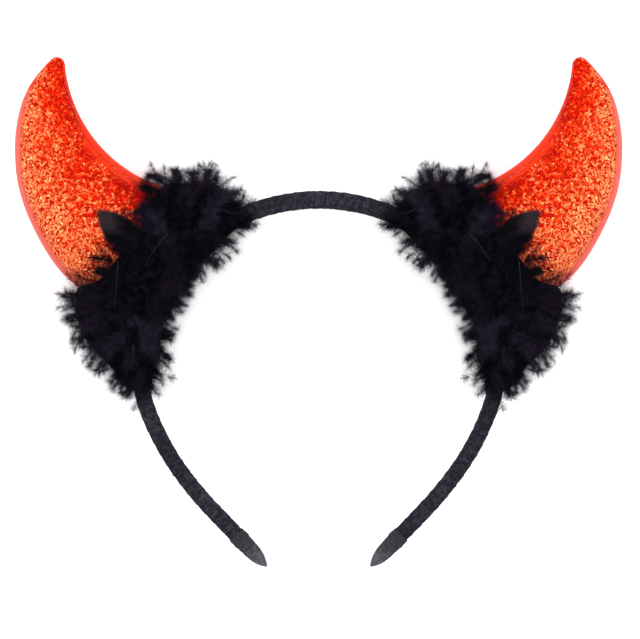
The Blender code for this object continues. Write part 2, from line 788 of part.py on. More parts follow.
def main():
    clear_scene()
    pieces = bpy.data.collections.new("devil horns headband")
    guides = bpy.data.collections.new("cutters and guides")
    guides.hide_render = True
    for collection in (pieces, guides):
        bpy.context.scene.collection.children.link(collection)
    make_band(pieces, guides)
    band_seat = band_cutter("band_seat", GAP, guides)
    for word, side in (("right", 1), ("left", -1)):
        make_end_cap(f"end_cap_{word}", side, pieces, guides)
        make_horn(f"horn_{word}", side, pieces, band_seat)
        make_edge_strip(f"horn_edge_{word}", side, pieces, band_seat)
        horn_seat = horn_solid(f"horn_seat_{word}", side, guides, lambda along: -GAP, GAP)
        make_collar(f"feather_collar_{word}", side, pieces, guides, band_seat, horn_seat)
    root_frame(pieces)


main()
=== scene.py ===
"""Looks of a devil horns headband, built round its packed model.

The hoop is wound with crepe ribbon, the horns are padded glitter cloth with a satin edge, and the collars
are black marabou. The script is laid out as an add-on and is run as a script. Lengths are in metres.
The hoop's own frame has its origin at the crown of the hoop's centreline and lies in the hoop plane.
"""

import json
import math

import bpy
import numpy as np
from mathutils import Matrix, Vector, noise
from mathutils.bvhtree import BVHTree


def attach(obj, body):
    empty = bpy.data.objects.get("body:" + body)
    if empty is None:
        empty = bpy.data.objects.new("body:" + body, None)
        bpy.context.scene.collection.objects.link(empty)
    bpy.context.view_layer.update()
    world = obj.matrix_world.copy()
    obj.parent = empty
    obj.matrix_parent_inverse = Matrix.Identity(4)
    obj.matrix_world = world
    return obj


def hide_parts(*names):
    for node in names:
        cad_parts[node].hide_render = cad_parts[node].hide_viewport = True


bl_info = {
    "name": "Devil Horns Headband",
    "version": (1, 0, 0),
    "blender": (4, 5, 0),
    "location": "3D View > Sidebar > Headband",
    "description": "Dresses a devil horns headband in ribbon, glitter cloth and marabou",
    "category": "Add Mesh",
}

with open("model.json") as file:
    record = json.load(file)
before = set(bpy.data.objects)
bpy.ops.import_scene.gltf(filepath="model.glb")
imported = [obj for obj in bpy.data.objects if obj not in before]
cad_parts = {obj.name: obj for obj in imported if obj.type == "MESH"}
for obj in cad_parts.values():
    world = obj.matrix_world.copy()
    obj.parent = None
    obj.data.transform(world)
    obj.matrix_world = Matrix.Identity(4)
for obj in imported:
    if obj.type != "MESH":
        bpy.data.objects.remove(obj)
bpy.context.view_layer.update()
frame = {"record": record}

MM = 0.001
SIDES = (("right", 1), ("left", -1))


def rows(columns, *values):
    """A short table: a dict for each row, with the columns' names."""
    return [dict(zip(columns.split(), row)) for row in values]


# Hoop: radius and sweep in degrees of its centreline's arcs from the crown to one end, then a straight tail
HOOP_ARCS = ((72.2 * MM, 50), (55.1 * MM, 61), (98.0 * MM, 15), (144.0 * MM, 8))
TAIL_LENGTH = 28.5 * MM
BAND_THICKNESS = 6.6 * MM
BAND_WIDTH = 8.0 * MM
BAND_SQUARENESS = 2.7
LEG_SLIMNESS = 0.9
CAP_LENGTH = 17.0 * MM
CAP_THICKNESS = 6.3 * MM

# How far the ribbon runs into the caps, and the share of a section that is left under the ribbon's relief
CAP_OVERLAP = 1.5 * MM
UNDER_RIBBON = 0.97

# Section of an end cap along its length
CAP_SECTIONS = rows(
    "along width",
    (0.0, 0.98), (0.1, 1.02), (0.44, 1.0), (0.61, 0.92), (0.75, 0.74), (0.88, 0.47), (0.96, 0.22),
    (1.0, 0.05),
)

# The crown of the hoop's centreline, over the mount on the hoop's inner side
CROWN_SEAT = frame["record"]["mounts"][0]["pos_m"]
CROWN = np.array((0.0, CROWN_SEAT[1] + BAND_THICKNESS / 2, CROWN_SEAT[2]))

# Horns: the hoop's turn where they stand, and the arcs of their outline, along the hoop and out from there
HORN_TURN = 55
HORN_FOOT_SPREAD = 15
HORN_OUTER_RADIUS = 59.7 * MM
HORN_OUTER_CENTRE = (-37.9 * MM, 23.7 * MM)
HORN_INNER_RADIUS = 53.7 * MM
HORN_INNER_CENTRE = (-79.1 * MM, 36.6 * MM)
HORN_POINT_RADIUS = 3.1 * MM
HORN_ROOT_ANGLE = -17
HORN_DEPTH = 23.0 * MM
EDGE_STRIP_WIDTH = 2.4 * MM
EDGE_STRIP_DEPTH = 4.6 * MM
EDGE_STRIP_AT_POINT = 0.3

# How far the outer edge swells out of its arc along the horn, as shares of HORN_SWELL
HORN_SWELL = 1.4 * MM
HORN_SWELLS = rows(
    "along swell",
    (0.0, 0.0), (0.25, -0.1), (0.33, -0.64), (0.4, -0.9), (0.48, -0.79), (0.57, -0.46), (0.65, -0.18),
    (0.73, 0.29), (0.8, 0.71), (0.85, 0.95), (0.9, 0.82), (0.95, 0.43), (1.0, 0.0),
)

# Half depth of the horn along its length, as shares of half of HORN_DEPTH
HORN_FULLNESS = rows(
    "along depth",
    (0.0, 0.95), (0.25, 1.0), (0.5, 0.88), (0.75, 0.62), (0.9, 0.4), (1.0, 0.2),
)

# Collars: reach along the hoop to both sides of the horn, towards the head, away from it, to front and back
COLLAR_TOWARDS_CROWN = 38.4 * MM
COLLAR_TOWARDS_END = 44.2 * MM
COLLAR_INSIDE = 12.0 * MM
COLLAR_OUTSIDE = 30.0 * MM
COLLAR_DEPTH = 14.6 * MM
COLLAR_LENGTH = COLLAR_TOWARDS_CROWN + COLLAR_TOWARDS_END
COLLAR_SQUARENESS = 2.4
CORE_DEPTH_MARGIN = 1.0 * MM

# The dense core of a collar, where no light comes through, in shares of COLLAR_INSIDE, COLLAR_OUTSIDE and
# COLLAR_DEPTH, and how far the plumes reach past it, in shares of PLUME_REACH
PLUME_REACH = 9.8 * MM
CORE_SECTIONS = rows(
    "along inside outside depth reach",
    (0.0, 0.28, 0.16, 0.42, 0.95),
    (0.05, 0.3, 0.5, 0.61, 0.9),
    (0.12, 0.34, 0.64, 0.8, 1.1),
    (0.2, 0.5, 0.82, 0.92, 1.0),
    (0.28, 0.58, 0.86, 0.98, 0.95),
    (0.38, 0.6, 0.8, 1.0, 0.8),
    (0.5, 0.68, 0.78, 1.0, 0.7),
    (0.58, 0.64, 0.75, 1.0, 0.85),
    (0.66, 0.6, 0.93, 0.97, 0.95),
    (0.74, 0.62, 0.83, 0.92, 0.9),
    (0.82, 0.62, 0.62, 0.85, 0.9),
    (0.9, 0.54, 0.34, 0.72, 1.0),
    (0.97, 0.36, 0.2, 0.54, 0.95),
    (1.0, 0.28, 0.13, 0.4, 0.95),
)

# Broad feather over each horn: where it starts from the horn's stand, its size, its heading in degrees, its
# height over the horn, and its barbs
BLADE_ALONG = -3.3 * MM
BLADE_OUT = 10.2 * MM
BLADE_LENGTH = 27.0 * MM
BLADE_WIDTH = 13.0 * MM
BLADE_HEADING = -6.5
BLADE_LIFT = 1.1 * MM
BLADE_ARCH = 0.5 * MM
VANE_BARBS = 260
VANE_BARB_WIDTH = 0.5 * MM
BLADE_SECTIONS = rows(
    "along width",
    (0.0, 0.6), (0.3, 1.0), (0.55, 0.96), (0.8, 0.56), (1.0, 0.0),
)

# Gap between the hoop and the seat cut for it in a collar's heart
GAP = 0.3 * MM

# Clearance of the lowest barbs over the surface that the headband lies on
FLOOR_CLEARANCE = 0.15 * MM

# The photograph: size of a pixel at the headband, the pixel over its middle, and its width and height
PIXEL = 0.38 * MM
MIDDLE_PIXEL = (318.6, 311.8)
IMAGE_WIDTH = 640
IMAGE_HEIGHT = 639

# Half the side of the surface that it lies on
FLOOR_HALF = 1.5

# How the ribbon's pitch drifts along the hoop, as shares of a turn
PITCH_DRIFTS = rows("share wave shift", (0.12, 17 * MM, 0), (0.08, 7.7 * MM, 1))

# Creases of the ribbon: their size in turns and round the section, how sharp they are, and their share
RIBBON_CREASES = rows(
    "size sharp share seed",
    ((0.34, 0.9, 0.9), 2.8, 0.75, 1),
    ((0.2, 0.4, 0.4), 2.4, 0.45, 2),
)

# Seams: puckers of the padding and gathers of the satin, the length over which each one's spacing drifts,
# and the gap between padding and satin
PUCKER_SPACING = 3.1 * MM
PUCKER_DRIFT = 6 * MM
GATHER_SPACING = 2.3 * MM
GATHER_DRIFT = 5 * MM
GATHER_DEPTH = 0.05 * MM
PADDING_GAP = 0.02 * MM

# Glitter: sizes of the gaps between flakes, of pale and deep patches, and of the mottling in them
FLAKE_GAP_SIZE = 1.25 * MM
PATCH_SIZE = 8 * MM
MOTTLE_SIZE = 1.3 * MM

# Down: lumps of the heart, depth of the roots in it, barbs in a tuft, the point that plumes on the faces
# point away from, and clearances round the horn and of strands
LUMP_HEIGHT = 1.0 * MM
LUMP_SIZE = 4.5 * MM
ROOT_DEPTH = 0.6 * MM
PLUME_TUFT_BARBS = 6
UNDER_TUFT_BARBS = 7
LAY_CENTRE_OUT = 6.0 * MM
HORN_SEAT_CLEARANCE = 0.4 * MM
STRAND_CLEARANCE = 0.1 * MM
SEARCH_REACH = 20 * MM

# Points round a ring, and rings along a piece
RING_STEP = 0.4 * MM
HOOP_SIDES = 44
CAP_SIDES = 48
HORN_SIDES = 72
HEART_SIDES = 72
HEART_RINGS = 90
SEAT_RINGS = 120
SEAT_REACH = 60 * MM
HOOP_SEAT_SIDES = 20
HORN_SEAT_SIDES = 40

# Stations of the horn's outline up its foot, along its edges and round its point, and the step between two
FOOT_STEPS = 8
HORN_STEPS = 96
POINT_STEPS = 11
STATIONS = FOOT_STEPS + HORN_STEPS + POINT_STEPS
STATION_STEP = 1.15 * MM

# Starting points of the random draws
FLAKE_SEED = 11
COLLAR_SEED = 23
FEATHER_SEED = 31


def linear(hex_colour):
    """Linear colour of an sRGB hex value."""
    channels = [int(hex_colour[i : i + 2], 16) / 255 for i in (1, 3, 5)]
    return tuple(c / 12.92 if c <= 0.04045 else ((c + 0.055) / 1.055) ** 2.4 for c in channels) + (1.0,)


# User settings


def length_setting(name, description, default):
    """Setting in metres."""
    return bpy.props.FloatProperty(name=name, description=description, default=default, unit="LENGTH")


def colour_setting(name, description, default):
    """Colour setting, from an sRGB hex value."""
    return bpy.props.FloatVectorProperty(
        name=name, description=description, default=linear(default), size=4, subtype="COLOR"
    )


def power_setting(name, description, default):
    """Power of a lamp in watts."""
    return bpy.props.FloatProperty(name=name, description=description, default=default, unit="POWER")


class HoopLook(bpy.types.PropertyGroup):
    """Ribbon wound on the hoop."""

    pitch: length_setting("Ribbon pitch", "Distance between turns of the ribbon", 4.6 * MM)
    overlap: length_setting("Overlap", "Step where a turn lies on the last one", 0.2 * MM)
    crease: length_setting("Crease", "Depth of the creases in the ribbon", 0.3 * MM)
    colour: colour_setting("Ribbon", "Colour of the ribbon", "#1b191f")
    # Fold colours are painted highlight on the raised folds of the ribbon and the caps
    colour_with_painted_light: colour_setting("Ribbon folds", "Colour of its raised folds", "#403c48")
    cap: colour_setting("Cap", "Colour of the end caps", "#302d33")
    cap_folds: colour_setting("Cap folds", "Colour of their raised folds", "#5b575e")


class HornLook(bpy.types.PropertyGroup):
    """Glitter cloth and satin edge of the horns."""

    flakes: bpy.props.IntProperty(name="Flakes", description="Flakes on each horn", default=25000, min=1)
    flake_size: length_setting("Flake size", "Width of a glitter flake", 0.62 * MM)
    flake_tilt: bpy.props.FloatProperty(
        name="Flake tilt", description="Spread of the flakes' tilt", default=math.radians(15), subtype="ANGLE"
    )
    pucker: length_setting("Pucker", "Depth of the puckers along the seam", 0.35 * MM)
    # The light flakes' peach is partly painted highlight, and the tones put light and deep flakes in painted
    # lit and shaded zones
    light: colour_setting("Light flakes", "Colour of light flakes", "#fb8a54")
    middle: colour_setting("Middle flakes", "Colour of most flakes", "#f43c06")
    deep: colour_setting("Deep flakes", "Colour of deep flakes", "#cc0f00")
    ground: colour_setting("Ground", "Colour of the cloth under them", "#980e00")
    # Both satin colours hold painted light: the outer edge's pale pink is painted sheen, the inner edge's
    # orange is painted reflection of the red horn
    satin: colour_setting("Satin", "Colour of the outer edge", "#e06154")
    inner_satin: colour_setting("Inner satin", "Colour of the inner edge", "#ee3205")


class CollarLook(bpy.types.PropertyGroup):
    """Marabou of the collars."""

    plume_spacing: length_setting("Plume spacing", "Distance between plumes", 5.6 * MM)
    barb_length: length_setting("Barb length", "Length of the longest barbs", 4.9 * MM)
    barb_width: length_setting("Barb width", "Width of a barb with its down", 0.07 * MM)
    tufts: bpy.props.IntProperty(name="Tufts", description="Tufts of barbs on a plume", default=52, min=2)
    under_tufts: bpy.props.IntProperty(
        name="Under tufts", description="Tufts on the heart", default=3200, min=1
    )
    colour: colour_setting("Down", "Colour of the down", "#101218")
    # Paler barbs are partly the down's own tone and partly painted highlight on plumes that stand out lit
    pale: colour_setting("Pale down", "Colour of its paler barbs", "#3a3b49")
    quill: colour_setting("Quill", "Colour of stray quills", "#28272b")


class StageLook(bpy.types.PropertyGroup):
    """Surface, light and camera."""

    surface: colour_setting("Surface", "Colour of the surface", "#f4f4f5")
    glow: bpy.props.FloatProperty(
        name="Surface glow", description="Light that comes up through the surface", default=0.34
    )
    height: length_setting("Camera height", "Height of the camera over the hoop", 1.3)
    side_power: power_setting("Side light", "Power of each side light", 4.0)
    top_power: power_setting("Top light", "Power of the back and the front light, four times a glint's", 2.2)
    sky: bpy.props.FloatProperty(name="Sky", description="Strength of the light from all round", default=0.75)


# Material nodes


def new_material(name):
    """Material with a node tree, and its Principled shader."""
    made = bpy.data.materials.new(name)
    made.use_nodes = True
    return made, made.node_tree.nodes["Principled BSDF"]


def add_node(made, kind, settings=None, stops=(), links=None):
    """Adds a node, with its settings, a ramp's stops, and each input's value or the output that feeds it."""
    node = made.node_tree.nodes.new(kind)
    for key, value in (settings or {}).items():
        setattr(node, key, value)
    for index, (position, colour) in enumerate(stops):
        elements = node.color_ramp.elements
        element = elements[index] if index < 2 else elements.new(position)
        element.position = position
        element.color = colour
    for key, value in (links or {}).items():
        feed(made, node.inputs[key], value)
    return node


def feed(made, socket, value):
    """Sets an input, or links it to an output."""
    if isinstance(value, bpy.types.NodeSocket):
        made.node_tree.links.new(value, socket)
    else:
        socket.default_value = value


def set_shader(made, shader, **values):
    """Sets or links the shader's inputs, named with underscores."""
    for key, value in values.items():
        feed(made, shader.inputs[key.replace("_", " ")], value)


def stored(made, name):
    """Number that each point of the piece stores under that name."""
    return add_node(made, "ShaderNodeAttribute", {"attribute_name": name}).outputs["Fac"]


def on_piece(made, kind, **inputs):
    """Texture in the piece's own metres, so that its scale is grains to the metre."""
    place_of = add_node(made, "ShaderNodeTexCoord").outputs["Object"]
    return add_node(made, kind, links={"Vector": place_of, **inputs})


def ramp(made, value, *stops):
    """Colour at a value, between stops of position and colour, of which the first two are the ends."""
    return add_node(made, "ShaderNodeValToRGB", stops=stops, links={"Fac": value}).outputs["Color"]


def times_plus(made, value, factor, added):
    """Value times a factor, plus another value."""
    links = {0: value, 1: factor, 2: added}
    return add_node(made, "ShaderNodeMath", {"operation": "MULTIPLY_ADD"}, links=links).outputs[0]


def bumped(made, height, strength, distance):
    """Surface direction over bumps of a height."""
    links = {"Strength": strength, "Distance": distance, "Height": height}
    return add_node(made, "ShaderNodeBump", links=links).outputs["Normal"]


# Shapes of the hoop


def hoop_at(distance):
    """Centreline points at distances from the crown, negative to the left, and the hoop's turn there."""
    distance = np.asarray(distance, float)
    ahead = np.abs(distance)
    across = np.zeros_like(ahead)
    down = np.zeros_like(ahead)
    turned = np.zeros_like(ahead)
    for radius, sweep in HOOP_ARCS:
        step = np.minimum(ahead / radius, math.radians(sweep))
        across = across + radius * (np.sin(turned + step) - np.sin(turned))
        down = down + radius * (np.cos(turned + step) - np.cos(turned))
        turned = turned + step
        ahead = ahead - step * radius
    across = across + ahead * np.cos(turned)
    down = down - ahead * np.sin(turned)
    side = np.where(distance < 0, -1.0, 1.0)
    return np.stack((side * across, down), -1), side * turned


def hoop_half_length():
    """Length of the centreline from the crown to the point of one end cap."""
    return sum(radius * math.radians(sweep) for radius, sweep in HOOP_ARCS) + TAIL_LENGTH


def hoop_distance(turn):
    """Distance from the crown at which the hoop has turned by that many degrees."""
    distance = 0.0
    for radius, sweep in HOOP_ARCS:
        distance += radius * math.radians(min(sweep, turn))
        turn = max(0, turn - sweep)
    return distance


def out_of_hoop(turned):
    """Unit vectors in the hoop plane that point away from the head."""
    return np.stack((np.sin(turned), np.cos(turned)), -1)


def along_hoop(turned):
    """Unit vectors along the hoop, away from the crown on the right half."""
    return np.stack((np.cos(turned), -np.sin(turned)), -1)


def leg_share(distance):
    """Share of the crown section that the hoop keeps at those distances, slimmer down the legs."""
    shoulder_end = sum(radius * math.radians(sweep) for radius, sweep in HOOP_ARCS[:2])
    return 1 - (1 - LEG_SLIMNESS) * np.minimum(1, np.abs(distance) / shoulder_end)


def angles_round(sides, shift=0):
    """Angles of a ring's points, as a row."""
    return 2 * math.pi * (np.arange(sides)[None, :] + shift) / sides


def superellipse(angle, half_across, half_up, squareness):
    """Points of a rounded section at angles round it."""
    c, s = np.cos(angle), np.sin(angle)
    across = np.sign(c) * np.abs(c) ** (2 / squareness) * half_across
    return across, np.sign(s) * np.abs(s) ** (2 / squareness) * half_up


def with_height(flat, height):
    """Points of the hoop plane with a height over it."""
    return np.concatenate((flat, np.broadcast_to(height, flat.shape[:-1])[..., None]), -1)


def tube_round_hoop(distance, scale, sides, relief=0.0):
    """Rings of a tube with the hoop's section: scaled at each distance, and raised by a relief."""
    angle = angles_round(sides)
    across, up = superellipse(angle, BAND_THICKNESS / 2, BAND_WIDTH / 2, BAND_SQUARENESS)
    across, up = across * scale[:, None], up * scale[:, None]
    size = np.hypot(across, up)
    grown = 1 + relief / np.maximum(size, 0.2 * MM)
    centre, turned = hoop_at(distance)
    flat = centre[:, None] + (across * grown)[..., None] * out_of_hoop(turned)[:, None]
    return with_height(flat, up * grown)


# Smooth values


def smooth_table(table, column, along):
    """A short table's column at shares of the length, on a smooth curve through its rows."""
    x = np.array([row["along"] for row in table])
    y = np.array([row[column] for row in table])
    slope = np.gradient(y, x)
    along = np.clip(along, 0, 1)
    at = np.clip(np.searchsorted(x, along, side="right") - 1, 0, len(x) - 2)
    span = x[at + 1] - x[at]
    t = (along - x[at]) / span
    rise = (2 * t**3 - 3 * t**2 + 1) * y[at] + (3 * t**2 - 2 * t**3) * y[at + 1]
    return rise + span * ((t**3 - 2 * t**2 + t) * slope[at] + (t**3 - t**2) * slope[at + 1])


def smooth_step(value):
    """Eases from 0 to 1 as the value does."""
    value = np.clip(value, 0, 1)
    return value * value * (3 - 2 * value)


def unit(vectors):
    """Vectors of length one."""
    return vectors / np.maximum(np.linalg.norm(vectors, axis=-1, keepdims=True), 1e-12)


def rumple(points, scale, seed=0):
    """Smooth random value between -1 and 1 at each point, for bumps of that size or sizes."""
    offset = Vector((7.3 * seed, 1.7 * seed, -3.1 * seed))
    flat = (points / np.asarray(scale)).reshape(-1, 3)
    return np.array([noise.noise(Vector(point) + offset) for point in flat]).reshape(points.shape[:-1])


def creases(points, size, sharp, seed):
    """How creased each point is, from 0 to 1 along the middle of a crease."""
    return 1 - np.minimum(1, sharp * np.abs(rumple(points, size, seed)))


def on_tube(along, angle):
    """Places for noise on a tube's skin: along it and round it."""
    return np.stack(np.broadcast_arrays(along, np.sin(angle), np.cos(angle)), -1)


# Meshes


def place(points, side=1):
    """Points of the hoop's own frame in the packed model's, mirrored for the left half."""
    return points * np.array((side, 1.0, 1.0)) + CROWN


def new_object(name, data):
    """Object of that data in the scene."""
    made = bpy.data.objects.new(name, data)
    bpy.context.scene.collection.objects.link(made)
    return made


def new_mesh(name, points, faces, side):
    """Mesh of points in the hoop's own frame, mirrored for the left half."""
    mesh = bpy.data.meshes.new(name)
    turned = faces if side > 0 else [face[::-1] for face in faces]
    mesh.from_pydata(place(points.reshape(-1, 3), side).tolist(), [], turned)
    return mesh


def mesh_piece(name, points, faces, material, side=1, sharp=None):
    """Object of a mesh in the hoop's own frame that rides on the headband's body, in one material slot."""
    mesh = new_mesh(name, points, faces, side)
    mesh.materials.append(material)
    mesh.shade_smooth()
    if sharp:
        mesh.set_sharp_from_angle(angle=math.radians(sharp))
    mesh.update()
    piece = new_object(name, mesh)
    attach(piece, "root")
    return piece


def set_values(piece, name, values):
    """Stores a number at each point of the mesh under a name that its material reads."""
    attribute = piece.data.attributes.new(name, "FLOAT", "POINT")
    attribute.data.foreach_set("value", np.ascontiguousarray(values, np.float32).ravel())


def tube_faces(rings, sides):
    """Faces between rings of points, with the first and the last ring closed, facing outwards."""
    here = np.arange(rings * sides).reshape(rings, sides)
    after = np.roll(here, -1, axis=1)
    quads = np.stack((here[:-1], after[:-1], after[1:], here[1:]), -1).reshape(-1, 4)
    return quads.tolist() + [here[0][::-1].tolist(), here[-1].tolist()]


def tube_piece(name, rings, material, side=1, sharp=None):
    """Closed piece over rings of points."""
    return mesh_piece(name, rings, tube_faces(*rings.shape[:2]), material, side, sharp)


# Ribbon


def crepe_material(name, low, high):
    """Polyester crepe ribbon: matt, pebbled by its twisted yarn, and painted paler on its raised folds as
    highlight.
    """
    made, shader = new_material(name)
    # Yarn is 0.2 mm apart; it is drawn at 0.45 mm, which still shows in a picture of the whole headband
    pebble = on_piece(made, "ShaderNodeTexNoise", Scale=2200, Detail=3).outputs["Fac"]
    # Crimps between the creases, about 0.8 mm apart
    crimp = on_piece(made, "ShaderNodeTexNoise", Scale=1300, Detail=2, Distortion=1.2).outputs["Fac"]
    mixed = times_plus(made, crimp, 1.0, -0.5)
    # How raised a point is lightens its colour as painted highlight, and also feeds the bump
    height = add_node(made, "ShaderNodeMath", links={0: stored(made, "raised"), 1: mixed}).outputs[0]
    grain = times_plus(made, pebble, 0.5, height)
    colour = ramp(made, grain, (0.4, low), (1.0, high))
    set_shader(made, shader, Base_Color=colour, Roughness=0.85, Sheen_Weight=0.01, Sheen_Roughness=0.5)
    set_shader(made, shader, Sheen_Tint=linear("#b9b4c8"), Normal=bumped(made, grain, 0.7, 0.3 * MM))
    set_shader(made, shader, Specular_IOR_Level=0.05)
    return made


def winding(look, distance, sides):
    """Relief of the wound ribbon over the hoop's section, and how raised each point is, from 0 to 1, which
    the material paints paler as highlight.
    """
    angle = angles_round(sides)
    uneven = sum(row["share"] * np.sin(distance / row["wave"] + row["shift"]) for row in PITCH_DRIFTS)
    turns = distance[:, None] / look.pitch + uneven[:, None] + angle / (2 * math.pi)
    across_ribbon = turns - np.floor(turns)
    lap = (1 - across_ribbon) * smooth_step(across_ribbon / 0.07)
    # Creases run slantwise across each turn, one way and then the other, and change from turn to turn
    run = on_tube(turns, angle)
    leaning = 0.9 * np.sin(angle) * np.where(np.floor(turns) % 2, 1.0, -1.0)
    slant = run + np.stack((leaning, 0 * turns, np.floor(turns) * 3.7), -1)
    folds = sum(
        row["share"] * creases(slant, row["size"], row["sharp"], row["seed"]) for row in RIBBON_CREASES
    )
    creased = (0.6 + 0.4 * rumple(run, (3.1, 3, 3), 3)) * folds
    return look.overlap * lap + look.crease * creased, 0.6 * creased + 0.12 * lap


class HEADBAND_OT_hoop(bpy.types.Operator):
    """Winds the hoop with crepe ribbon"""

    bl_idname = "headband.hoop"
    bl_label = "Hoop"

    def execute(self, context):
        look = context.scene.headband_hoop
        reach = hoop_half_length() - CAP_LENGTH + CAP_OVERLAP
        distance = np.linspace(-reach, reach, 2 * round(reach / RING_STEP) + 1)
        relief, raised = winding(look, distance, HOOP_SIDES)
        rings = tube_round_hoop(distance, leg_share(distance) * UNDER_RIBBON, HOOP_SIDES, relief)
        made = crepe_material("crepe_ribbon", look.colour, look.colour_with_painted_light)
        hoop = tube_piece("hoop_ribbon", rings, made)
        set_values(hoop, "raised", raised)
        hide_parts("headband")
        return {"FINISHED"}


class HEADBAND_OT_caps(bpy.types.Operator):
    """Covers the ends of the hoop with pointed ribbon caps"""

    bl_idname = "headband.caps"
    bl_label = "End caps"

    def execute(self, context):
        look = context.scene.headband_hoop
        share = np.concatenate((np.linspace(0, 0.9, 60), np.linspace(0.91, 1, 12)))
        distance = hoop_half_length() - CAP_LENGTH * (1 - share)
        width = smooth_table(CAP_SECTIONS, "width", share) * CAP_THICKNESS / BAND_THICKNESS
        angle = angles_round(CAP_SIDES)
        # The last turn of ribbon ends in a slanted edge, and the folded cloth gathers in pleats at the point
        edge = share[:, None] - 0.2 - 0.07 * np.sin(angle)
        lap = smooth_step(1 - edge / 0.03) * 0.3 * MM
        pleat = np.abs(np.sin(angle * 4 + 5 * share[:, None])) * smooth_step((share[:, None] - 0.35) / 0.4)
        crease = creases(on_tube(share[:, None] * 3, angle), (0.3, 1.1, 1.1), 3, 5)
        calm = np.clip(width / width.max(), 0, 1)[:, None]
        relief = lap + calm * (0.16 * MM * pleat + 0.14 * MM * crease)
        rings = tube_round_hoop(distance, width * UNDER_RIBBON, CAP_SIDES, relief)
        made = crepe_material("crepe_ribbon_cap", look.cap, look.cap_folds)
        for word, side in SIDES:
            cap = tube_piece(f"cap_ribbon_{word}", rings, made, side)
            # Creases and pleats are painted paler as highlight, and the cap is painted paler towards its
            # point
            set_values(cap, "raised", 0.2 * crease + 0.2 * pleat + 0.6 * share[:, None] - 0.15)
            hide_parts(f"end_cap_{word}")
        return {"FINISHED"}


# Horns


def on_horn_stand(along, out):
    """Point of the hoop plane that far along the hoop and out from it, from where the right horn stands."""
    point, turned = hoop_at(hoop_distance(HORN_TURN))
    return point + along * along_hoop(turned) + out * out_of_hoop(turned)


def horn_point_centre():
    """Centre of the small circle that rounds the outer and the inner arc together."""
    outer = HORN_OUTER_RADIUS - HORN_POINT_RADIUS
    inner = HORN_INNER_RADIUS + HORN_POINT_RADIUS
    outer_centre = on_horn_stand(*HORN_OUTER_CENTRE)
    between = on_horn_stand(*HORN_INNER_CENTRE) - outer_centre
    apart = np.linalg.norm(between)
    along = (outer**2 - inner**2 + apart**2) / (2 * apart)
    aside = math.sqrt(outer**2 - along**2)
    way = between / apart
    return outer_centre + along * way + aside * np.array((way[1], -way[0]))


def on_circle(centre, radius, angle):
    """Points of circles in the hoop plane."""
    return centre + np.stack((np.cos(angle), np.sin(angle)), -1) * np.asarray(radius)[..., None]


def heading(vector):
    """Angle of a vector in the hoop plane."""
    return math.atan2(vector[1], vector[0])


def horn_outline(inset_share, clearance=0.0):
    """Outer and inner edge points of the horn from its foot to its point, and its length's share there.

    The edges are set in by a share of the satin edge's width and by a clearance.
    """
    centre = horn_point_centre()
    root = math.radians(HORN_ROOT_ANGLE - HORN_TURN)
    along = np.linspace(0, 1, HORN_STEPS)
    insets = [inset_share * width + clearance for width in satin_widths(along)]
    swell = HORN_SWELL * smooth_table(HORN_SWELLS, "swell", along)
    edges = []
    arcs = (
        (HORN_OUTER_CENTRE, HORN_OUTER_RADIUS + swell - insets[0]),
        (HORN_INNER_CENTRE, HORN_INNER_RADIUS + insets[1]),
    )
    for offset, radius in arcs:
        middle = on_horn_stand(*offset)
        edges.append(on_circle(middle, radius, root + along * (heading(centre - middle) - root)))
    feet = []
    for way, inset in zip((1, -1), insets):
        point, turned = hoop_at(hoop_distance(HORN_TURN + way * HORN_FOOT_SPREAD))
        feet.append(point - way * inset[0] * along_hoop(turned))
    start = heading(centre - on_horn_stand(*HORN_OUTER_CENTRE))
    end = heading(on_horn_stand(*HORN_INNER_CENTRE) - centre)
    share = np.linspace(0, 1, POINT_STEPS + 1)[1:]
    half_turn = share * ((end - start) % (2 * math.pi)) / 2
    radius = np.full(POINT_STEPS, HORN_POINT_RADIUS - insets[0][-1])
    points = (on_circle(centre, radius, start + half_turn), on_circle(centre, radius, end - half_turn))
    blend = np.linspace(0, 1, FOOT_STEPS + 1)[:-1, None]
    outer, inner = (
        np.concatenate(((1 - blend) * foot + blend * edge[0], edge, point))
        for foot, edge, point in zip(feet, edges, points)
    )
    reach = np.concatenate((np.zeros(FOOT_STEPS), along, np.ones(POINT_STEPS)))
    closing = np.concatenate((np.ones(FOOT_STEPS + HORN_STEPS), np.sqrt(np.maximum(0, 1 - share**2))))
    return outer, inner, reach, closing


def satin_widths(along):
    """Widths of the satin edge: full along the outer edge and low on the inner one, narrow by the point."""
    outer = smooth_step((along - 0.7) / 0.3)
    inner = smooth_step((along - 0.5) / 0.25)
    return [EDGE_STRIP_WIDTH * (1 - (1 - EDGE_STRIP_AT_POINT) * narrowing) for narrowing in (outer, inner)]


def path_length(points):
    """Distance along a line of points from its first one to each."""
    return np.concatenate(([0.0], np.cumsum(np.linalg.norm(np.diff(points, axis=0), axis=-1))))


def between_stations(station, values):
    """Values of the horn's outline at stations, which may lie between two."""
    at = np.arange(len(values))
    if values.ndim == 1:
        return np.interp(station, at, values)
    return np.stack([np.interp(station, at, column) for column in values.T], -1)


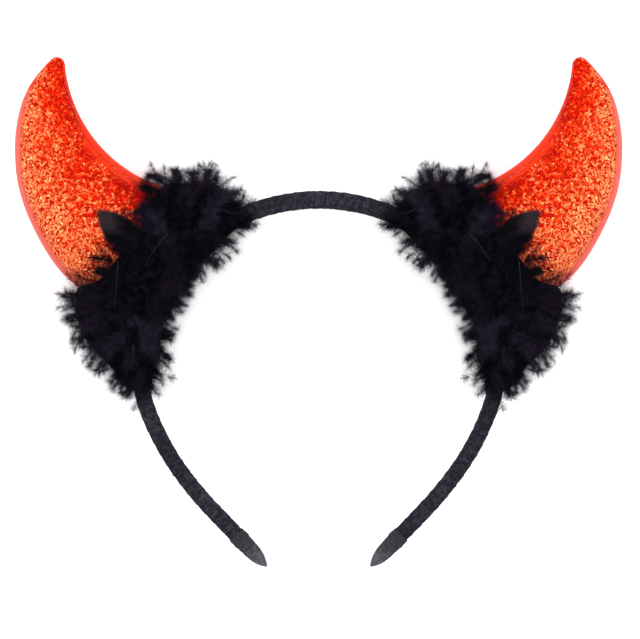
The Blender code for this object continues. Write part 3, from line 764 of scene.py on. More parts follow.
def padding_at(look, station, angle):
    """Points of the horn's padded surface at stations of its outline, or between two, and at angles."""
    lines = horn_outline(1.0, PADDING_GAP)
    outer, inner, along, closing = (between_stations(station, line) for line in lines)
    c, s = np.cos(angle), np.abs(np.sin(angle))
    full = HORN_DEPTH / 2 * smooth_table(HORN_FULLNESS, "depth", along) * closing
    edge = np.minimum(EDGE_STRIP_DEPTH / 2, 0.85 * full)
    depth = edge * s**0.1 + (full - edge) * s**1.05
    # The seam gathers the cloth: puckers every 3 mm or so that die out over a few millimetres
    run = station * STATION_STEP + 0 * angle
    pull = smooth_step(1 - s / 0.62) * smooth_step(s / 0.1)
    wave = np.sin(2 * math.pi * run / PUCKER_SPACING + 2.2 * np.sin(run / PUCKER_DRIFT) + 1.3 * np.sign(c))
    depth = depth - look.pucker * pull * (0.6 + 0.6 * wave) * np.minimum(1, full / (5 * MM))
    middle, half = (outer + inner) / 2, (outer - inner) / 2
    across = np.sign(c) * np.abs(c) ** 0.92
    return with_height(middle + across[..., None] * half, np.sign(np.sin(angle)) * depth)


def satin_with_painted_light(made, look):
    """Satin's colour with painted light: lighter pink on the outer edge as painted sheen, orange on the inner
    one as painted reflection of the red horn.
    """
    return ramp(made, stored(made, "outer"), (0.35, look.inner_satin), (0.65, look.satin))


def glitter_cloth_material(look):
    """Glitter cloth under its flakes: deep red grit in varnish, and where it is bare of flakes the satin's
    colours, painted light that lightens the seam's dark groove and the band by the inner edge.
    """
    made, shader = new_material("glitter_cloth")
    # Grit of 0.5 mm
    grit = on_piece(made, "ShaderNodeTexVoronoi", Scale=2000)
    colour = ramp(made, grit.outputs["Color"], (0.25, look.ground), (0.9, look.deep))
    # Painted light: bare cloth takes the satin's colours, lighter than the shade in the seam's groove
    links = {0: stored(made, "bare"), 6: colour, 7: satin_with_painted_light(made, look)}
    colour_with_painted_light = add_node(made, "ShaderNodeMix", {"data_type": "RGBA"}, links=links).outputs[2]
    normal = bumped(made, grit.outputs["Distance"], 0.4, 0.2 * MM)
    set_shader(made, shader, Base_Color=colour_with_painted_light, Roughness=0.6, Normal=normal, Specular_IOR_Level=0.04)
    return made


def flake_material(look):
    """Cut PET film flakes: bright coloured foil, each with its own tone and tilt, so that some flash; the
    tones carry painted light and shade.
    """
    made, shader = new_material("glitter_flakes")
    colour = ramp(made, stored(made, "tone"), (0.1, look.deep), (0.72, look.light), (0.42, look.middle))
    # Scratches in the film of 0.1 mm
    haze = on_piece(made, "ShaderNodeTexNoise", Scale=9000).outputs["Fac"]
    rough = times_plus(made, haze, 0.25, 0.25)
    set_shader(made, shader, Base_Color=colour, Metallic=0.7, Roughness=rough, Specular_IOR_Level=0.1)
    return made


def flake_faces(count):
    """Faces of that many square flakes."""
    return np.arange(4 * count).reshape(count, 4).tolist()


def bare_share(along, angle):
    """How bare of flakes the cloth is: along its seam, and in a band by the lower half of its inner edge."""
    aside = np.abs(np.sin(angle))
    seam = smooth_step((0.15 - aside) / 0.08)
    band = smooth_step((0.64 - aside) / 0.34) * smooth_step((along - 0.08) / 0.15)
    band = band * smooth_step((0.68 - along) / 0.2)
    return np.maximum(seam, np.where(np.cos(angle) < 0, band, 0))


def flakes_on(look, seed):
    """Corners and tones of the flakes over one horn, in the hoop's own frame."""
    chance = np.random.default_rng(seed)
    last = STATIONS - 1
    tries = 4 * look.flakes
    station = chance.uniform(3, last - 0.4, tries)
    angle = chance.uniform(0, 2 * math.pi, tries)
    here = padding_at(look, station, angle)
    ahead = padding_at(look, station + 0.05, angle) - here
    aside = padding_at(look, station, angle + 0.01) - here
    facing = np.cross(ahead, aside)
    # Worm-like gaps under half a millimetre wide are left between the flakes
    gap = np.abs(rumple(here, FLAKE_GAP_SIZE, 12))
    area = np.linalg.norm(facing, axis=-1) * (0.03 + 0.97 * smooth_step((gap - 0.05) / 0.07))
    area *= 0.02 + 0.98 * (1 - bare_share(station / last, angle))
    kept = chance.choice(tries, look.flakes, replace=False, p=area / area.sum())
    here, station, angle = here[kept], station[kept], angle[kept]
    up = unit(facing[kept])
    up *= np.sign(np.sum(up * (here - with_height(horn_middle(station), 0.0)), -1, keepdims=True))
    tilted = unit(up + math.tan(look.flake_tilt) * chance.normal(size=up.shape))
    first = unit(np.cross(tilted, chance.normal(size=up.shape)))
    second = np.cross(tilted, first)
    turn = math.pi / 2 * np.arange(4)[None, :, None]
    radius = look.flake_size / math.sqrt(2) * chance.uniform(0.7, 1.15, (look.flakes, 1, 1))
    lift = up * chance.uniform(0.06, 0.22, (look.flakes, 1)) * MM
    spokes = np.cos(turn) * first[:, None] + np.sin(turn) * second[:, None]
    return (here + lift)[:, None] + radius * spokes, flake_tones(here, station, angle, chance)


def horn_middle(station):
    """Middle of the horn's chord at stations of its outline."""
    outer, inner, _, _ = horn_outline(1.0)
    return between_stations(station, (outer + inner) / 2)


def flake_tones(points, station, angle, chance):
    """Shade of each flake, 0 deep to 1 light: paler on the outer half and a third of the way up as a painted
    lit zone, deeper towards the inner edge and at the foot's inner side as painted shade.
    """
    along = station / (STATIONS - 1)
    outward = np.cos(angle) * np.abs(np.cos(angle)) ** 0.3
    fold = points * np.array((1, 1, 0.6))
    # Painted light: paler on the outer half and a third of the way up, with patches of random tone
    pale = 0.54 + 0.34 * outward - 0.55 * np.abs(along - 0.34) ** 1.6 + 0.24 * rumple(fold, PATCH_SIZE, 4)
    # Painted shade: darker at the foot's inner side, by the down
    pale = pale - 0.3 * smooth_step((0.2 - along) / 0.1) * smooth_step(0.5 - outward)
    mottle = rumple(fold, MOTTLE_SIZE, 6)
    return np.clip(pale + 0.5 * mottle + chance.normal(0, 0.13, len(points)), 0, 1)


def satin_material(look):
    """Polyester satin: close smooth weave with a soft shine across the thread, painted lighter on the outer
    edge as sheen and orange on the inner edge as reflection of the horn.
    """
    made, shader = new_material("polyester_satin")
    # Threads are 0.1 mm apart; they are drawn at 0.35 mm so that the weave shows
    thread = on_piece(made, "ShaderNodeTexNoise", Scale=2900, Detail=2)
    settings = {"data_type": "RGBA", "blend_type": "MULTIPLY"}
    links = {0: 0.3, 6: satin_with_painted_light(made, look), 7: thread.outputs["Color"]}
    shaded = add_node(made, "ShaderNodeMix", settings, links=links).outputs[2]
    normal = bumped(made, thread.outputs["Fac"], 0.3, 0.1 * MM)
    set_shader(made, shader, Base_Color=shaded, Roughness=0.5, Sheen_Weight=0.03, Anisotropic=0.4)
    set_shader(made, shader, Specular_IOR_Level=0.2, Sheen_Tint=linear("#ffd0c8"), Normal=normal)
    return made


class HEADBAND_OT_horns(bpy.types.Operator):
    """Makes the padded horns and covers them with glitter flakes"""

    bl_idname = "headband.horns"
    bl_label = "Horns"

    def execute(self, context):
        look = context.scene.headband_horns
        station = np.arange(STATIONS)[:, None] + np.zeros((1, HORN_SIDES))
        angle = angles_round(HORN_SIDES, 0.5) + np.zeros((STATIONS, 1))
        rings = padding_at(look, station, angle)
        cloth = glitter_cloth_material(look)
        foil = flake_material(look)
        corners, tones = flakes_on(look, FLAKE_SEED)
        for word, side in SIDES:
            horn = tube_piece(f"horn_padding_{word}", rings[:, ::-1], cloth, side)
            set_values(horn, "bare", bare_share(station / (STATIONS - 1), angle))
            # Which half takes the satin's painted sheen and which its painted reflection, where the cloth is
            # bare
            set_values(horn, "outer", np.cos(angle) > 0)
            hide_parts(f"horn_{word}")
            faces = flake_faces(len(corners))
            flakes = mesh_piece(f"horn_glitter_{word}", corners, faces, foil, side)
            set_values(flakes, "tone", np.repeat(tones, 4))
        return {"FINISHED"}


class HEADBAND_OT_edges(bpy.types.Operator):
    """Closes the edge of each horn with a satin strip"""

    bl_idname = "headband.edges"
    bl_label = "Satin edges"

    def execute(self, context):
        look = context.scene.headband_horns
        bulge = np.linspace(-90, 90, 15)
        turned = np.radians(bulge)
        rings = []
        for angle in turned:
            share = 1 - math.cos(angle)
            outer, inner, reach, closing = horn_outline(share)
            line = np.concatenate((outer[:-1], inner[::-1]))
            along = np.concatenate((reach[:-1], reach[::-1]))
            outer_width, inner_width = satin_widths(along)
            on_outer = np.arange(len(along)) < len(outer)
            slim = np.sqrt(np.where(on_outer, outer_width, inner_width) / EDGE_STRIP_WIDTH)
            height = math.sin(angle) * EDGE_STRIP_DEPTH / 2 * slim
            rings.append(with_height(line, height))
        rings = np.stack(rings, 1)
        middle = rings.mean(1, keepdims=True)
        run = path_length(middle[:, 0])[:, None]
        # Shallow gathers where the strip is sewn to the padding
        gather = np.sin(2 * math.pi * run / GATHER_SPACING + 1.5 * np.sin(run / GATHER_DRIFT))
        gather = gather * np.abs(np.sin(turned))[None, :]
        rings = rings - GATHER_DEPTH * gather[..., None] * unit(rings - middle)
        outer_half = np.repeat(run < run.max() / 2, len(turned), 1)
        made = satin_material(look)
        for word, side in SIDES:
            edge = tube_piece(f"horn_satin_{word}", rings[:, ::-1], made, side, sharp=60)
            # The outer half takes the painted sheen, the inner half the painted reflection
            set_values(edge, "outer", outer_half)
            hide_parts(f"horn_edge_{word}")
        return {"FINISHED"}


# Collars


def core_at(share, angle):
    """Points of a collar's dense core at shares of its length and angles round it, from straight outwards."""
    start = hoop_distance(HORN_TURN) - COLLAR_TOWARDS_CROWN
    point, turned = hoop_at(start + share * COLLAR_LENGTH)
    inside = COLLAR_INSIDE * smooth_table(CORE_SECTIONS, "inside", share)
    outside = COLLAR_OUTSIDE * smooth_table(CORE_SECTIONS, "outside", share)
    depth = COLLAR_DEPTH * smooth_table(CORE_SECTIONS, "depth", share) - CORE_DEPTH_MARGIN
    across, up = superellipse(angle, (outside + inside) / 2, depth, COLLAR_SQUARENESS)
    flat = point + ((outside - inside) / 2 + across)[..., None] * out_of_hoop(turned)
    return with_height(flat, up)


def core_facing(share, angle):
    """Unit vectors that point straight out of the core."""
    near = np.clip(share, 0.01, 0.985)
    along = core_at(near + 0.01, angle) - core_at(near - 0.01, angle)
    around = core_at(near, angle + 0.05) - core_at(near, angle - 0.05)
    return unit(np.cross(around, along))


def down_material(look):
    """Dyed marabou down: matt barbs, painted black towards the root as shade, some violet or blue grey
    towards their tips.
    """
    made, shader = new_material("marabou_down")
    # Painted shade: the tone is halved at the root and rises towards the tip
    painted_root_shade = times_plus(made, stored(made, "tip"), 0.6, 0.5)
    links = {0: stored(made, "tone"), 1: painted_root_shade}
    lifted = add_node(made, "ShaderNodeMath", {"operation": "MULTIPLY"}, links=links).outputs[0]
    root, violet, charcoal = (linear(shade) for shade in ("#030304", "#25172a", "#292b38"))
    stops = ((0.0, root), (1.0, look.pale), (0.3, look.colour), (0.5, violet), (0.72, charcoal))
    set_shader(made, shader, Base_Color=ramp(made, lifted, *stops), Roughness=0.75, Specular_IOR_Level=0.03)
    set_shader(made, shader, Sheen_Weight=0.004, Sheen_Roughness=0.4, Sheen_Tint=linear("#a9abc8"))
    return made


def heart_material(look):
    """Roots of the down, pressed together like felt: the down's colour mottled with near black as painted
    shade, by tufts a few millimetres wide.
    """
    made, shader = new_material("marabou_heart")
    tuft = on_piece(made, "ShaderNodeTexNoise", Scale=400, Detail=5).outputs["Fac"]
    # The near black is painted shade of the dense core
    colour = ramp(made, tuft, (0.4, linear("#020203")), (0.8, look.colour))
    normal = bumped(made, tuft, 0.7, 0.5 * MM)
    set_shader(made, shader, Base_Color=colour, Roughness=0.9, Specular_IOR_Level=0.02, Normal=normal)
    return made


def strand_faces(count, steps):
    """Faces of that many strips with so many steps, the last one a point."""
    start = (np.arange(count) * (2 * steps + 1))[:, None]
    faces = []
    for step in range(steps - 1):
        faces += (start + np.array((2 * step, 2 * step + 1, 2 * step + 3, 2 * step + 2))).tolist()
    return faces + (start + np.array((2 * steps - 2, 2 * steps - 1, 2 * steps))).tolist()


STRAND_SHARES = np.array((0.0, 0.55, 1.0))


def strand_points(roots, ways, bends, widths, chance, flat=None):
    """Corners of tapered strips along bent lines; ways and bends are whole lengths."""
    roots, ways, bends = (array.reshape(-1, 3) for array in (roots, ways, bends))
    u = STRAND_SHARES[None, :, None]
    spine = roots[:, None] + ways[:, None] * u + bends[:, None] * u**2
    spine[..., 2] = np.maximum(spine[..., 2], FLOOR_CLEARANCE - CROWN[2])
    if flat is None:
        flat = unit(np.cross(ways, unit(chance.normal(size=ways.shape))))
    half = widths[:, None, None] / 2 * (1 - STRAND_SHARES[None, :-1, None]) ** 0.6
    left = spine[:, :-1] + flat[:, None] * half
    right = spine[:, :-1] - flat[:, None] * half
    sides = np.stack((left, right), 2).reshape(len(roots), -1, 3)
    return np.concatenate((sides, spine[:, -1:]), 1)


def strands_piece(name, points, tones, material, side):
    """Piece of many strips, each with its tone."""
    steps = len(STRAND_SHARES) - 1
    piece = mesh_piece(name, points, strand_faces(len(points), steps), material, side)
    tip = np.concatenate((np.repeat(STRAND_SHARES[:-1], 2), [1.0]))
    set_values(piece, "tip", np.broadcast_to(tip, points.shape[:2]))
    set_values(piece, "tone", np.repeat(tones, points.shape[1]))
    return piece


def lay_of_plumes(share, angle, facing):
    """Directions that plumes take: out of the heart at its outline, swept away from the horn on its faces."""
    roots = core_at(share, angle)
    foot = on_horn_stand(0.0, LAY_CENTRE_OUT)
    away = unit(with_height(roots[..., :2] - foot, 0.0))
    flatness = np.abs(facing[..., 2:])
    return unit(facing * (1 - 0.55 * flatness) + away * (0.25 + 1.1 * flatness))


def tufted(roots, ways, bends, chance, pull):
    """Bends that draw the barbs of each tuft together at their tips; arrays are tufts by barbs by three."""
    tips = roots + ways + bends
    middle = tips.mean(1, keepdims=True)
    share = pull * chance.uniform(0.5, 1.0, tips.shape[:2] + (1,))
    return bends + share * (middle - tips)


def plume_seeds(look, chance):
    """Places of the plumes over the collar's heart, as shares of its length and angles round it."""
    shares, angles = [], []
    count = round(COLLAR_LENGTH / look.plume_spacing)
    for step in range(count + 1):
        share = step / count
        ring = core_at(np.full(49, share), np.linspace(0, 2 * math.pi, 49))
        around = max(5, round(path_length(ring)[-1] / look.plume_spacing))
        shift = chance.uniform(-0.3, 0.3, around)
        angles.append(2 * math.pi * (np.arange(around) + step % 2 / 2 + shift) / around)
        shares.append(np.clip(share + chance.uniform(-0.35, 0.35, around) / count, 0.004, 0.996))
    return np.concatenate(shares), np.concatenate(angles)


def at_pixel(column, row):
    """Point of the hoop plane on the right half for a pixel of the photograph's left half."""
    return np.array(((MIDDLE_PIXEL[0] - column) * PIXEL, (MIDDLE_PIXEL[1] - row) * PIXEL - CROWN[1]))


# Pairs of plumes laid on the front of a collar: pixels of their root and tip in the photograph's left half,
# the root's height over the hoop plane and how far the tip rises in millimetres, the barbs' length as a share
# of barb_length, and the tone
# High tones are partly painted highlight on plumes that stand out lit
FRONT_PLUMES = rows(
    "root tip height rise barbs tone",
    ((160, 205), (137, 186), 12.6, 0.4, 0.9, 0.2),
    ((158, 218), (135, 204), 13.4, 0.0, 0.9, 0.3),
    ((155, 240), (141, 209), 14.6, 0.6, 0.9, 0.62),
    ((168, 245), (158, 212), 14.6, 0.8, 1.1, 0.82),
    ((148, 246), (128, 220), 14.6, 0.6, 0.9, 0.3),
    ((150, 262), (120, 240), 14.8, 0.2, 0.9, 0.22),
    ((140, 268), (112, 252), 14.4, -0.6, 0.9, 0.3),
    ((128, 274), (97, 258), 14.0, -0.8, 0.85, 0.24),
    ((126, 288), (102, 274), 14.0, -0.8, 0.9, 0.34),
    ((118, 300), (94, 287), 13.4, -0.8, 0.9, 0.4),
    ((132, 262), (110, 240), 14.2, -0.4, 0.9, 0.2),
    ((122, 280), (94, 266), 14.0, -0.8, 1.0, 0.28),
    ((178, 275), (172, 240), 13.8, 1.0, 1.0, 0.5),
    ((180, 258), (160, 296), 14.2, 0.4, 1.1, 0.48),
    ((187, 262), (172, 296), 13.0, 0.2, 1.1, 0.52),
    ((196, 240), (214, 216), 13.4, 0.6, 1.1, 0.74),
    ((205, 222), (220, 190), 12.6, 0.6, 1.1, 0.8),
    ((186, 214), (188, 186), 13.4, 0.8, 1.1, 0.66),
    ((150, 300), (168, 322), 14.4, 0.6, 1.1, 0.5),
    ((148, 356), (149, 322), 13.6, 1.0, 1.3, 0.86),
    ((128, 330), (112, 352), 13.6, 0.4, 1.1, 0.7),
    ((108, 318), (84, 330), 13.2, 0.0, 1.1, 0.72),
    ((104, 302), (78, 300), 12.8, 0.0, 1.0, 0.5),
    ((172, 190), (147, 176), 12.9, -0.2, 0.9, 0.5),
    ((174, 201), (143, 190), 13.2, -0.2, 0.9, 0.34),
    ((166, 213), (141, 201), 13.2, 0.0, 0.9, 0.42),
    ((160, 226), (138, 213), 13.4, 0.2, 0.9, 0.5),
    ((164, 184), (147, 178), 12.9, 0.0, 0.8, 0.4),
    ((163, 194), (145, 188), 12.9, 0.0, 0.8, 0.3),
    ((162, 205), (143, 199), 13.0, 0.0, 0.8, 0.36),
    ((114, 262), (96, 256), 13.0, 0.0, 0.8, 0.26),
    ((112, 274), (97, 268), 12.9, 0.0, 0.8, 0.3),
    ((174, 184), (154, 169), 9.0, 0.0, 1.0, 0.62),
    ((134, 246), (113, 228), 14.4, 0.2, 0.9, 0.3),
    ((136, 234), (120, 215), 14.4, 0.0, 0.85, 0.4),
    ((182, 188), (178, 167), 8.0, 0.0, 1.0, 0.6),
    ((196, 187), (198, 166), 7.0, 0.0, 1.1, 0.72),
    ((210, 192), (216, 172), 8.0, 0.0, 1.0, 0.76),
    ((224, 200), (238, 186), 6.0, 0.0, 1.0, 0.8),
    ((94, 296), (68, 284), 8.0, 0.0, 1.1, 0.56),
    ((90, 304), (61, 296), 5.0, 0.0, 1.1, 0.62),
    ((90, 316), (62, 312), 7.0, 0.0, 1.1, 0.5),
    ((94, 330), (68, 336), 6.0, 0.0, 1.0, 0.6),
    ((102, 346), (80, 360), 6.0, 0.0, 1.0, 0.5),
    ((114, 358), (96, 376), 6.0, 0.0, 1.0, 0.66),
    ((130, 368), (118, 391), 6.0, 0.0, 1.1, 0.7),
    ((144, 374), (141, 397), 6.0, 0.0, 1.0, 0.6),
)


def seeded_plumes(look, chance):
    """Plumes all over one collar, as arrays.

    They hold roots, directions, upper sides, lengths, barb lengths, the barbs' roll and openness, and tones.
    """
    share, angle = plume_seeds(look, chance)
    count = len(share)
    facing = core_facing(share, angle)
    flatness = np.abs(facing[:, 2])
    root = core_at(share, angle) - ROOT_DEPTH * facing
    way = unit(lay_of_plumes(share, angle, facing) + 0.3 * chance.normal(size=(count, 3)))
    aside = unit(np.cross(way, facing + 0.3 * chance.normal(size=(count, 3))))
    reach = PLUME_REACH * smooth_table(CORE_SECTIONS, "reach", share) * chance.uniform(0.75, 1.1, count)
    barb = look.barb_length * chance.uniform(0.85, 1.1, count)
    length = np.maximum(reach - 0.75 * barb, 2.5 * MM) * (1 + 0.8 * flatness)
    roll = 0.9 - 0.4 * flatness
    openness = 1.7 - 0.6 * flatness
    return root, way, unit(np.cross(aside, way)), length, barb, roll, openness, chance.beta(1.7, 2.3, count)


def front_plumes(look, chance):
    """Plumes laid one by one on the front of one collar, in the same arrays."""
    heights = [(MM * row["height"], MM * row["height"] + MM * row["rise"]) for row in FRONT_PLUMES]
    root, tip = (
        np.array([with_height(at_pixel(*row[end]), at[index]) for row, at in zip(FRONT_PLUMES, heights)])
        for index, end in enumerate(("root", "tip"))
    )
    # Each one is a pair, a little apart
    root, tip = np.repeat(root, 2, 0), np.repeat(tip, 2, 0)
    count = len(root)
    tip = tip + chance.normal(0, 1, (count, 3)) * np.array((1.3, 1.3, 0.4)) * MM
    way = unit(tip - root)
    aside = unit(np.cross(way, (0.0, 0.0, 1.0)))
    barb = 0.85 * look.barb_length * np.repeat([row["barbs"] for row in FRONT_PLUMES], 2)
    length = np.maximum(np.linalg.norm(tip - root, axis=-1) - 0.3 * barb, 2 * MM)
    tone = np.repeat([row["tone"] for row in FRONT_PLUMES], 2) + chance.normal(0, 0.04, count)
    return root, way, unit(np.cross(aside, way)), length, barb, np.full(count, 0.3), np.ones(count), tone


def plume_barbs(look, plumes, chance):
    """Corners and tones of the barbs of those plumes."""
    root, way, up, length, barb, roll, openness, plume_tone = plumes
    count, tufts, barbs = len(root), look.tufts, PLUME_TUFT_BARBS
    aside = np.cross(way, up)
    bow = (chance.normal(0, 0.2, (count, 1)) * aside + 0.14 * up) * length[:, None]
    t = np.sort(chance.uniform(0.0, 1.0, (count, tufts)), axis=1)[..., None] ** 0.75
    t = np.clip(t + chance.uniform(-0.05, 0.05, (count, tufts, barbs)), 0, 1)
    hand = np.where(np.arange(tufts) % 2, 1.0, -1.0)[None, :, None, None]
    splay = np.radians(openness[:, None, None] * (68 - 30 * t) + chance.normal(0, 22, t.shape))[..., None]
    turn = chance.normal(0, 1, (count, tufts, 1)) + chance.normal(0, 0.3, t.shape)
    turn = (roll[:, None, None] * turn)[..., None]
    shaft = unit(way[:, None, None] + 2 * t[..., None] * bow[:, None, None] / length[:, None, None, None])
    sideways = hand * np.cos(turn) * aside[:, None, None] + np.sin(turn) * up[:, None, None]
    base = root[:, None, None] + length[:, None, None, None] * t[..., None] * way[:, None, None]
    base = base + t[..., None] ** 2 * bow[:, None, None]
    long = (barb[:, None, None] * (1 - 0.2 * t) * chance.uniform(0.45, 1.12, t.shape))[..., None]
    scatter = 0.22 * chance.normal(size=base.shape)
    ways = long * unit(np.cos(splay) * shaft + np.sin(splay) * sideways + scatter)
    curl = 0.2 * shaft + 0.2 * chance.normal(size=(count, tufts, 1, 3)) + 0.2 * chance.normal(size=ways.shape)
    base, ways, bends = (array.reshape(count * tufts, barbs, 3) for array in (base, ways, long * curl))
    bends = tufted(base, ways, bends, chance, 0.14)
    tone = np.repeat(plume_tone, tufts)[:, None] + chance.normal(0, 0.09, (count * tufts, 1))
    tone = np.clip(tone + chance.normal(0, 0.09, (count * tufts, barbs)), 0, 1)
    widths = look.barb_width * chance.uniform(0.7, 1.3, count * tufts * barbs)
    return strand_points(base, ways, bends, widths, chance), tone.ravel()


def under_down(look, chance):
    """Corners and tones of short down between the plumes."""
    tufts, barbs = look.under_tufts, UNDER_TUFT_BARBS
    share = chance.uniform(0, 1, (tufts, 1)) + chance.normal(0, 0.006, (tufts, barbs))
    angle = chance.uniform(0, 2 * math.pi, (tufts, 1)) + chance.normal(0, 0.05, (tufts, barbs))
    share = np.clip(share, 0.003, 0.997)
    facing = core_facing(share, angle)
    roots = core_at(share, angle) - ROOT_DEPTH * facing
    lay = lay_of_plumes(share, angle, facing)
    scatter = 0.35 * chance.normal(size=(tufts, 1, 3)) + 0.12 * chance.normal(size=roots.shape)
    long = look.barb_length * chance.uniform(0.5, 1.25, (tufts, barbs, 1))
    ways = long * unit(lay + scatter)
    bends = tufted(roots, ways, 0.25 * long * chance.normal(size=(tufts, 1, 3)), chance, 0.4)
    tone = np.clip(chance.beta(1.4, 5, (tufts, 1)) + chance.normal(0, 0.05, (tufts, barbs)), 0, 1)
    widths = look.barb_width * chance.uniform(0.9, 1.6, tufts * barbs)
    return strand_points(roots, ways, bends, widths, chance), tone.ravel()


def tree_of(rings):
    """Search tree over a closed tube of rings."""
    return BVHTree.FromPolygons(rings.reshape(-1, 3).tolist(), tube_faces(*rings.shape[:2]))


def out_of_tube(tree, points, clearance):
    """Whether each point is out of a closed tube by a clearance."""
    found = []
    for point in points.tolist():
        spot, normal, _, distance = tree.find_nearest(point, SEARCH_REACH)
        found.append(spot is None or (distance > clearance and (Vector(point) - spot).dot(normal) > 0))
    return np.array(found)


def kept_clear(points, tones, trees):
    """Only the strands whose middle and tip are out of the horn and the hoop."""
    kept = np.ones(len(points), bool)
    for tree in trees:
        for corner in (2, 4):
            kept[kept] = out_of_tube(tree, points[kept, corner], STRAND_CLEARANCE)
    return points[kept], tones[kept]


def horn_seat(clearance, sides):
    """Rings round the horn and its satin edge with a clearance all round."""
    outer, inner, reach, closing = horn_outline(0.0, -clearance)
    full = HORN_DEPTH / 2 * smooth_table(HORN_FULLNESS, "depth", reach) * closing + clearance
    angle = angles_round(sides, 0.5)
    across, up = superellipse(angle, 1.0, full[:, None], 2.2)
    flat = ((outer + inner) / 2)[:, None] + across[..., None] * ((outer - inner) / 2)[:, None]
    return with_height(flat, up)[:, ::-1]


def cut_seat(piece, name, rings, side):
    """Cuts a closed tube of rings out of a piece."""
    cutter = new_object(name, new_mesh(name, rings, tube_faces(*rings.shape[:2]), side))
    modifier = piece.modifiers.new(name, "BOOLEAN")
    modifier.operation = "DIFFERENCE"
    modifier.solver = "EXACT"
    modifier.object = cutter
    bpy.context.view_layer.update()
    evaluated = piece.evaluated_get(bpy.context.evaluated_depsgraph_get())
    piece.data = bpy.data.meshes.new_from_object(evaluated)
    piece.modifiers.clear()
    bpy.data.objects.remove(cutter)


class HEADBAND_OT_collars(bpy.types.Operator):
    """Makes the marabou collars: a dark heart, under down and plumes"""

    bl_idname = "headband.collars"
    bl_label = "Marabou collars"

    def execute(self, context):
        look = context.scene.headband_collars
        share = np.linspace(0, 1, HEART_RINGS)[:, None] + np.zeros((1, HEART_SIDES))
        angle = angles_round(HEART_SIDES) + np.zeros((HEART_RINGS, 1))
        rings = core_at(share, angle)
        lumps = LUMP_HEIGHT * rumple(rings, LUMP_SIZE, 8)
        rings = rings + lumps[..., None] * core_facing(share, angle) * np.array((1.0, 1.0, 0.5))
        stand = hoop_distance(HORN_TURN)
        distance = np.linspace(stand - SEAT_REACH, stand + SEAT_REACH, SEAT_RINGS)
        scale = leg_share(distance) + 2 * GAP / BAND_THICKNESS
        hoop_seat = tube_round_hoop(distance, scale, HOOP_SEAT_SIDES)
        horn = horn_seat(HORN_SEAT_CLEARANCE, HORN_SEAT_SIDES)
        heart_made = heart_material(look)
        down_made = down_material(look)
        trees = (tree_of(horn), tree_of(hoop_seat))
        chance = np.random.default_rng(COLLAR_SEED)
        seeded = plume_barbs(look, seeded_plumes(look, chance), chance)
        laid = plume_barbs(look, front_plumes(look, chance), chance)
        plumes, plume_tones = kept_clear(*map(np.concatenate, zip(seeded, laid)), trees)
        under, under_tones = kept_clear(*under_down(look, chance), trees)
        for word, side in SIDES:
            heart = tube_piece(f"collar_heart_{word}", rings, heart_made, side)
            cut_seat(heart, "hoop_seat", hoop_seat, side)
            cut_seat(heart, "horn_seat", horn, side)
            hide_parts(f"feather_collar_{word}")
            strands_piece(f"collar_down_{word}", under, under_tones, down_made, side)
            for batch in range(2):
                name = f"collar_plumes_{word}_{batch + 1}"
                strands_piece(name, plumes[batch::2], plume_tones[batch::2], down_made, side)
        return {"FINISHED"}


# Broad feathers and stray quills


def feather_material():
    """Trimmed flat feather: barbs hooked into one smooth vane, charcoal with a faint sheen along them."""
    made, shader = new_material("flat_feather")
    # The reddish light end is painted light: the red horn showing through the thin vane
    colour = ramp(made, stored(made, "tone"), (0.0, linear("#08080b")), (1.0, linear("#382b32")))
    set_shader(made, shader, Base_Color=colour, Roughness=0.55, Sheen_Weight=0.01, Specular_IOR_Level=0.06)
    return made


def quill_material(look):
    """Stray quill: thin dry dark keratin, with greyer streaks of painted highlight, and little gloss."""
    made, shader = new_material("feather_quill")
    # Painted highlight streaks about 1.5 mm long
    streak = on_piece(made, "ShaderNodeTexNoise", Scale=700).outputs["Fac"]
    colour = ramp(made, streak, (0.3, linear("#17161a")), (0.7, look.quill))
    set_shader(made, shader, Base_Color=colour, Roughness=0.5, Specular_IOR_Level=0.12)
    return made


def feather_vane(chance):
    """Corners and tones of the barbs of the broad feather, flat from its quill to its edge."""
    turned = hoop_at(hoop_distance(HORN_TURN))[1]
    angle = math.radians(BLADE_HEADING)
    run = math.cos(angle) * out_of_hoop(turned) + math.sin(angle) * along_hoop(turned)
    across = np.array((-run[1], run[0]))
    ahead = np.repeat(np.linspace(0.0, 0.97, VANE_BARBS), 2)
    hand = np.tile((1.0, -1.0), VANE_BARBS)
    reach = np.clip(ahead + 0.16, 0, 1)
    half = BLADE_WIDTH / 2 * smooth_table(BLADE_SECTIONS, "width", reach)
    split = 1 - 0.1 * smooth_step(rumple(np.stack((ahead * 9, hand, 0 * hand), -1), 1.0, 9) * 2)
    root = on_horn_stand(BLADE_ALONG, BLADE_OUT) + BLADE_LENGTH * ahead[:, None] * run
    end = on_horn_stand(BLADE_ALONG, BLADE_OUT) + BLADE_LENGTH * reach[:, None] * run
    end = end + (hand * half * split)[:, None] * across
    rest = HORN_DEPTH / 2 + BLADE_LIFT
    roots = with_height(root, rest + BLADE_ARCH * np.sin(math.pi * ahead))
    ends = with_height(end, rest - BLADE_ARCH + 0.05 * MM * chance.normal(size=len(end)))
    ways = 0.8 * (ends - roots)
    ways[:, :2] += 0.1 * hand[:, None] * half[:, None] * across
    bends = ends - roots - ways
    flat = np.broadcast_to(with_height(run, 0.0), ways.shape)
    widths = np.full(len(roots), VANE_BARB_WIDTH)
    streak = 0.16 * rumple(np.stack((ahead * 30, hand, 0 * hand), -1), 1.0, 14)
    tones = np.clip(1.25 * ahead - 0.35 + streak + chance.normal(0, 0.07, len(roots)), 0, 1)
    return strand_points(roots, ways, bends, widths, chance, flat), tones


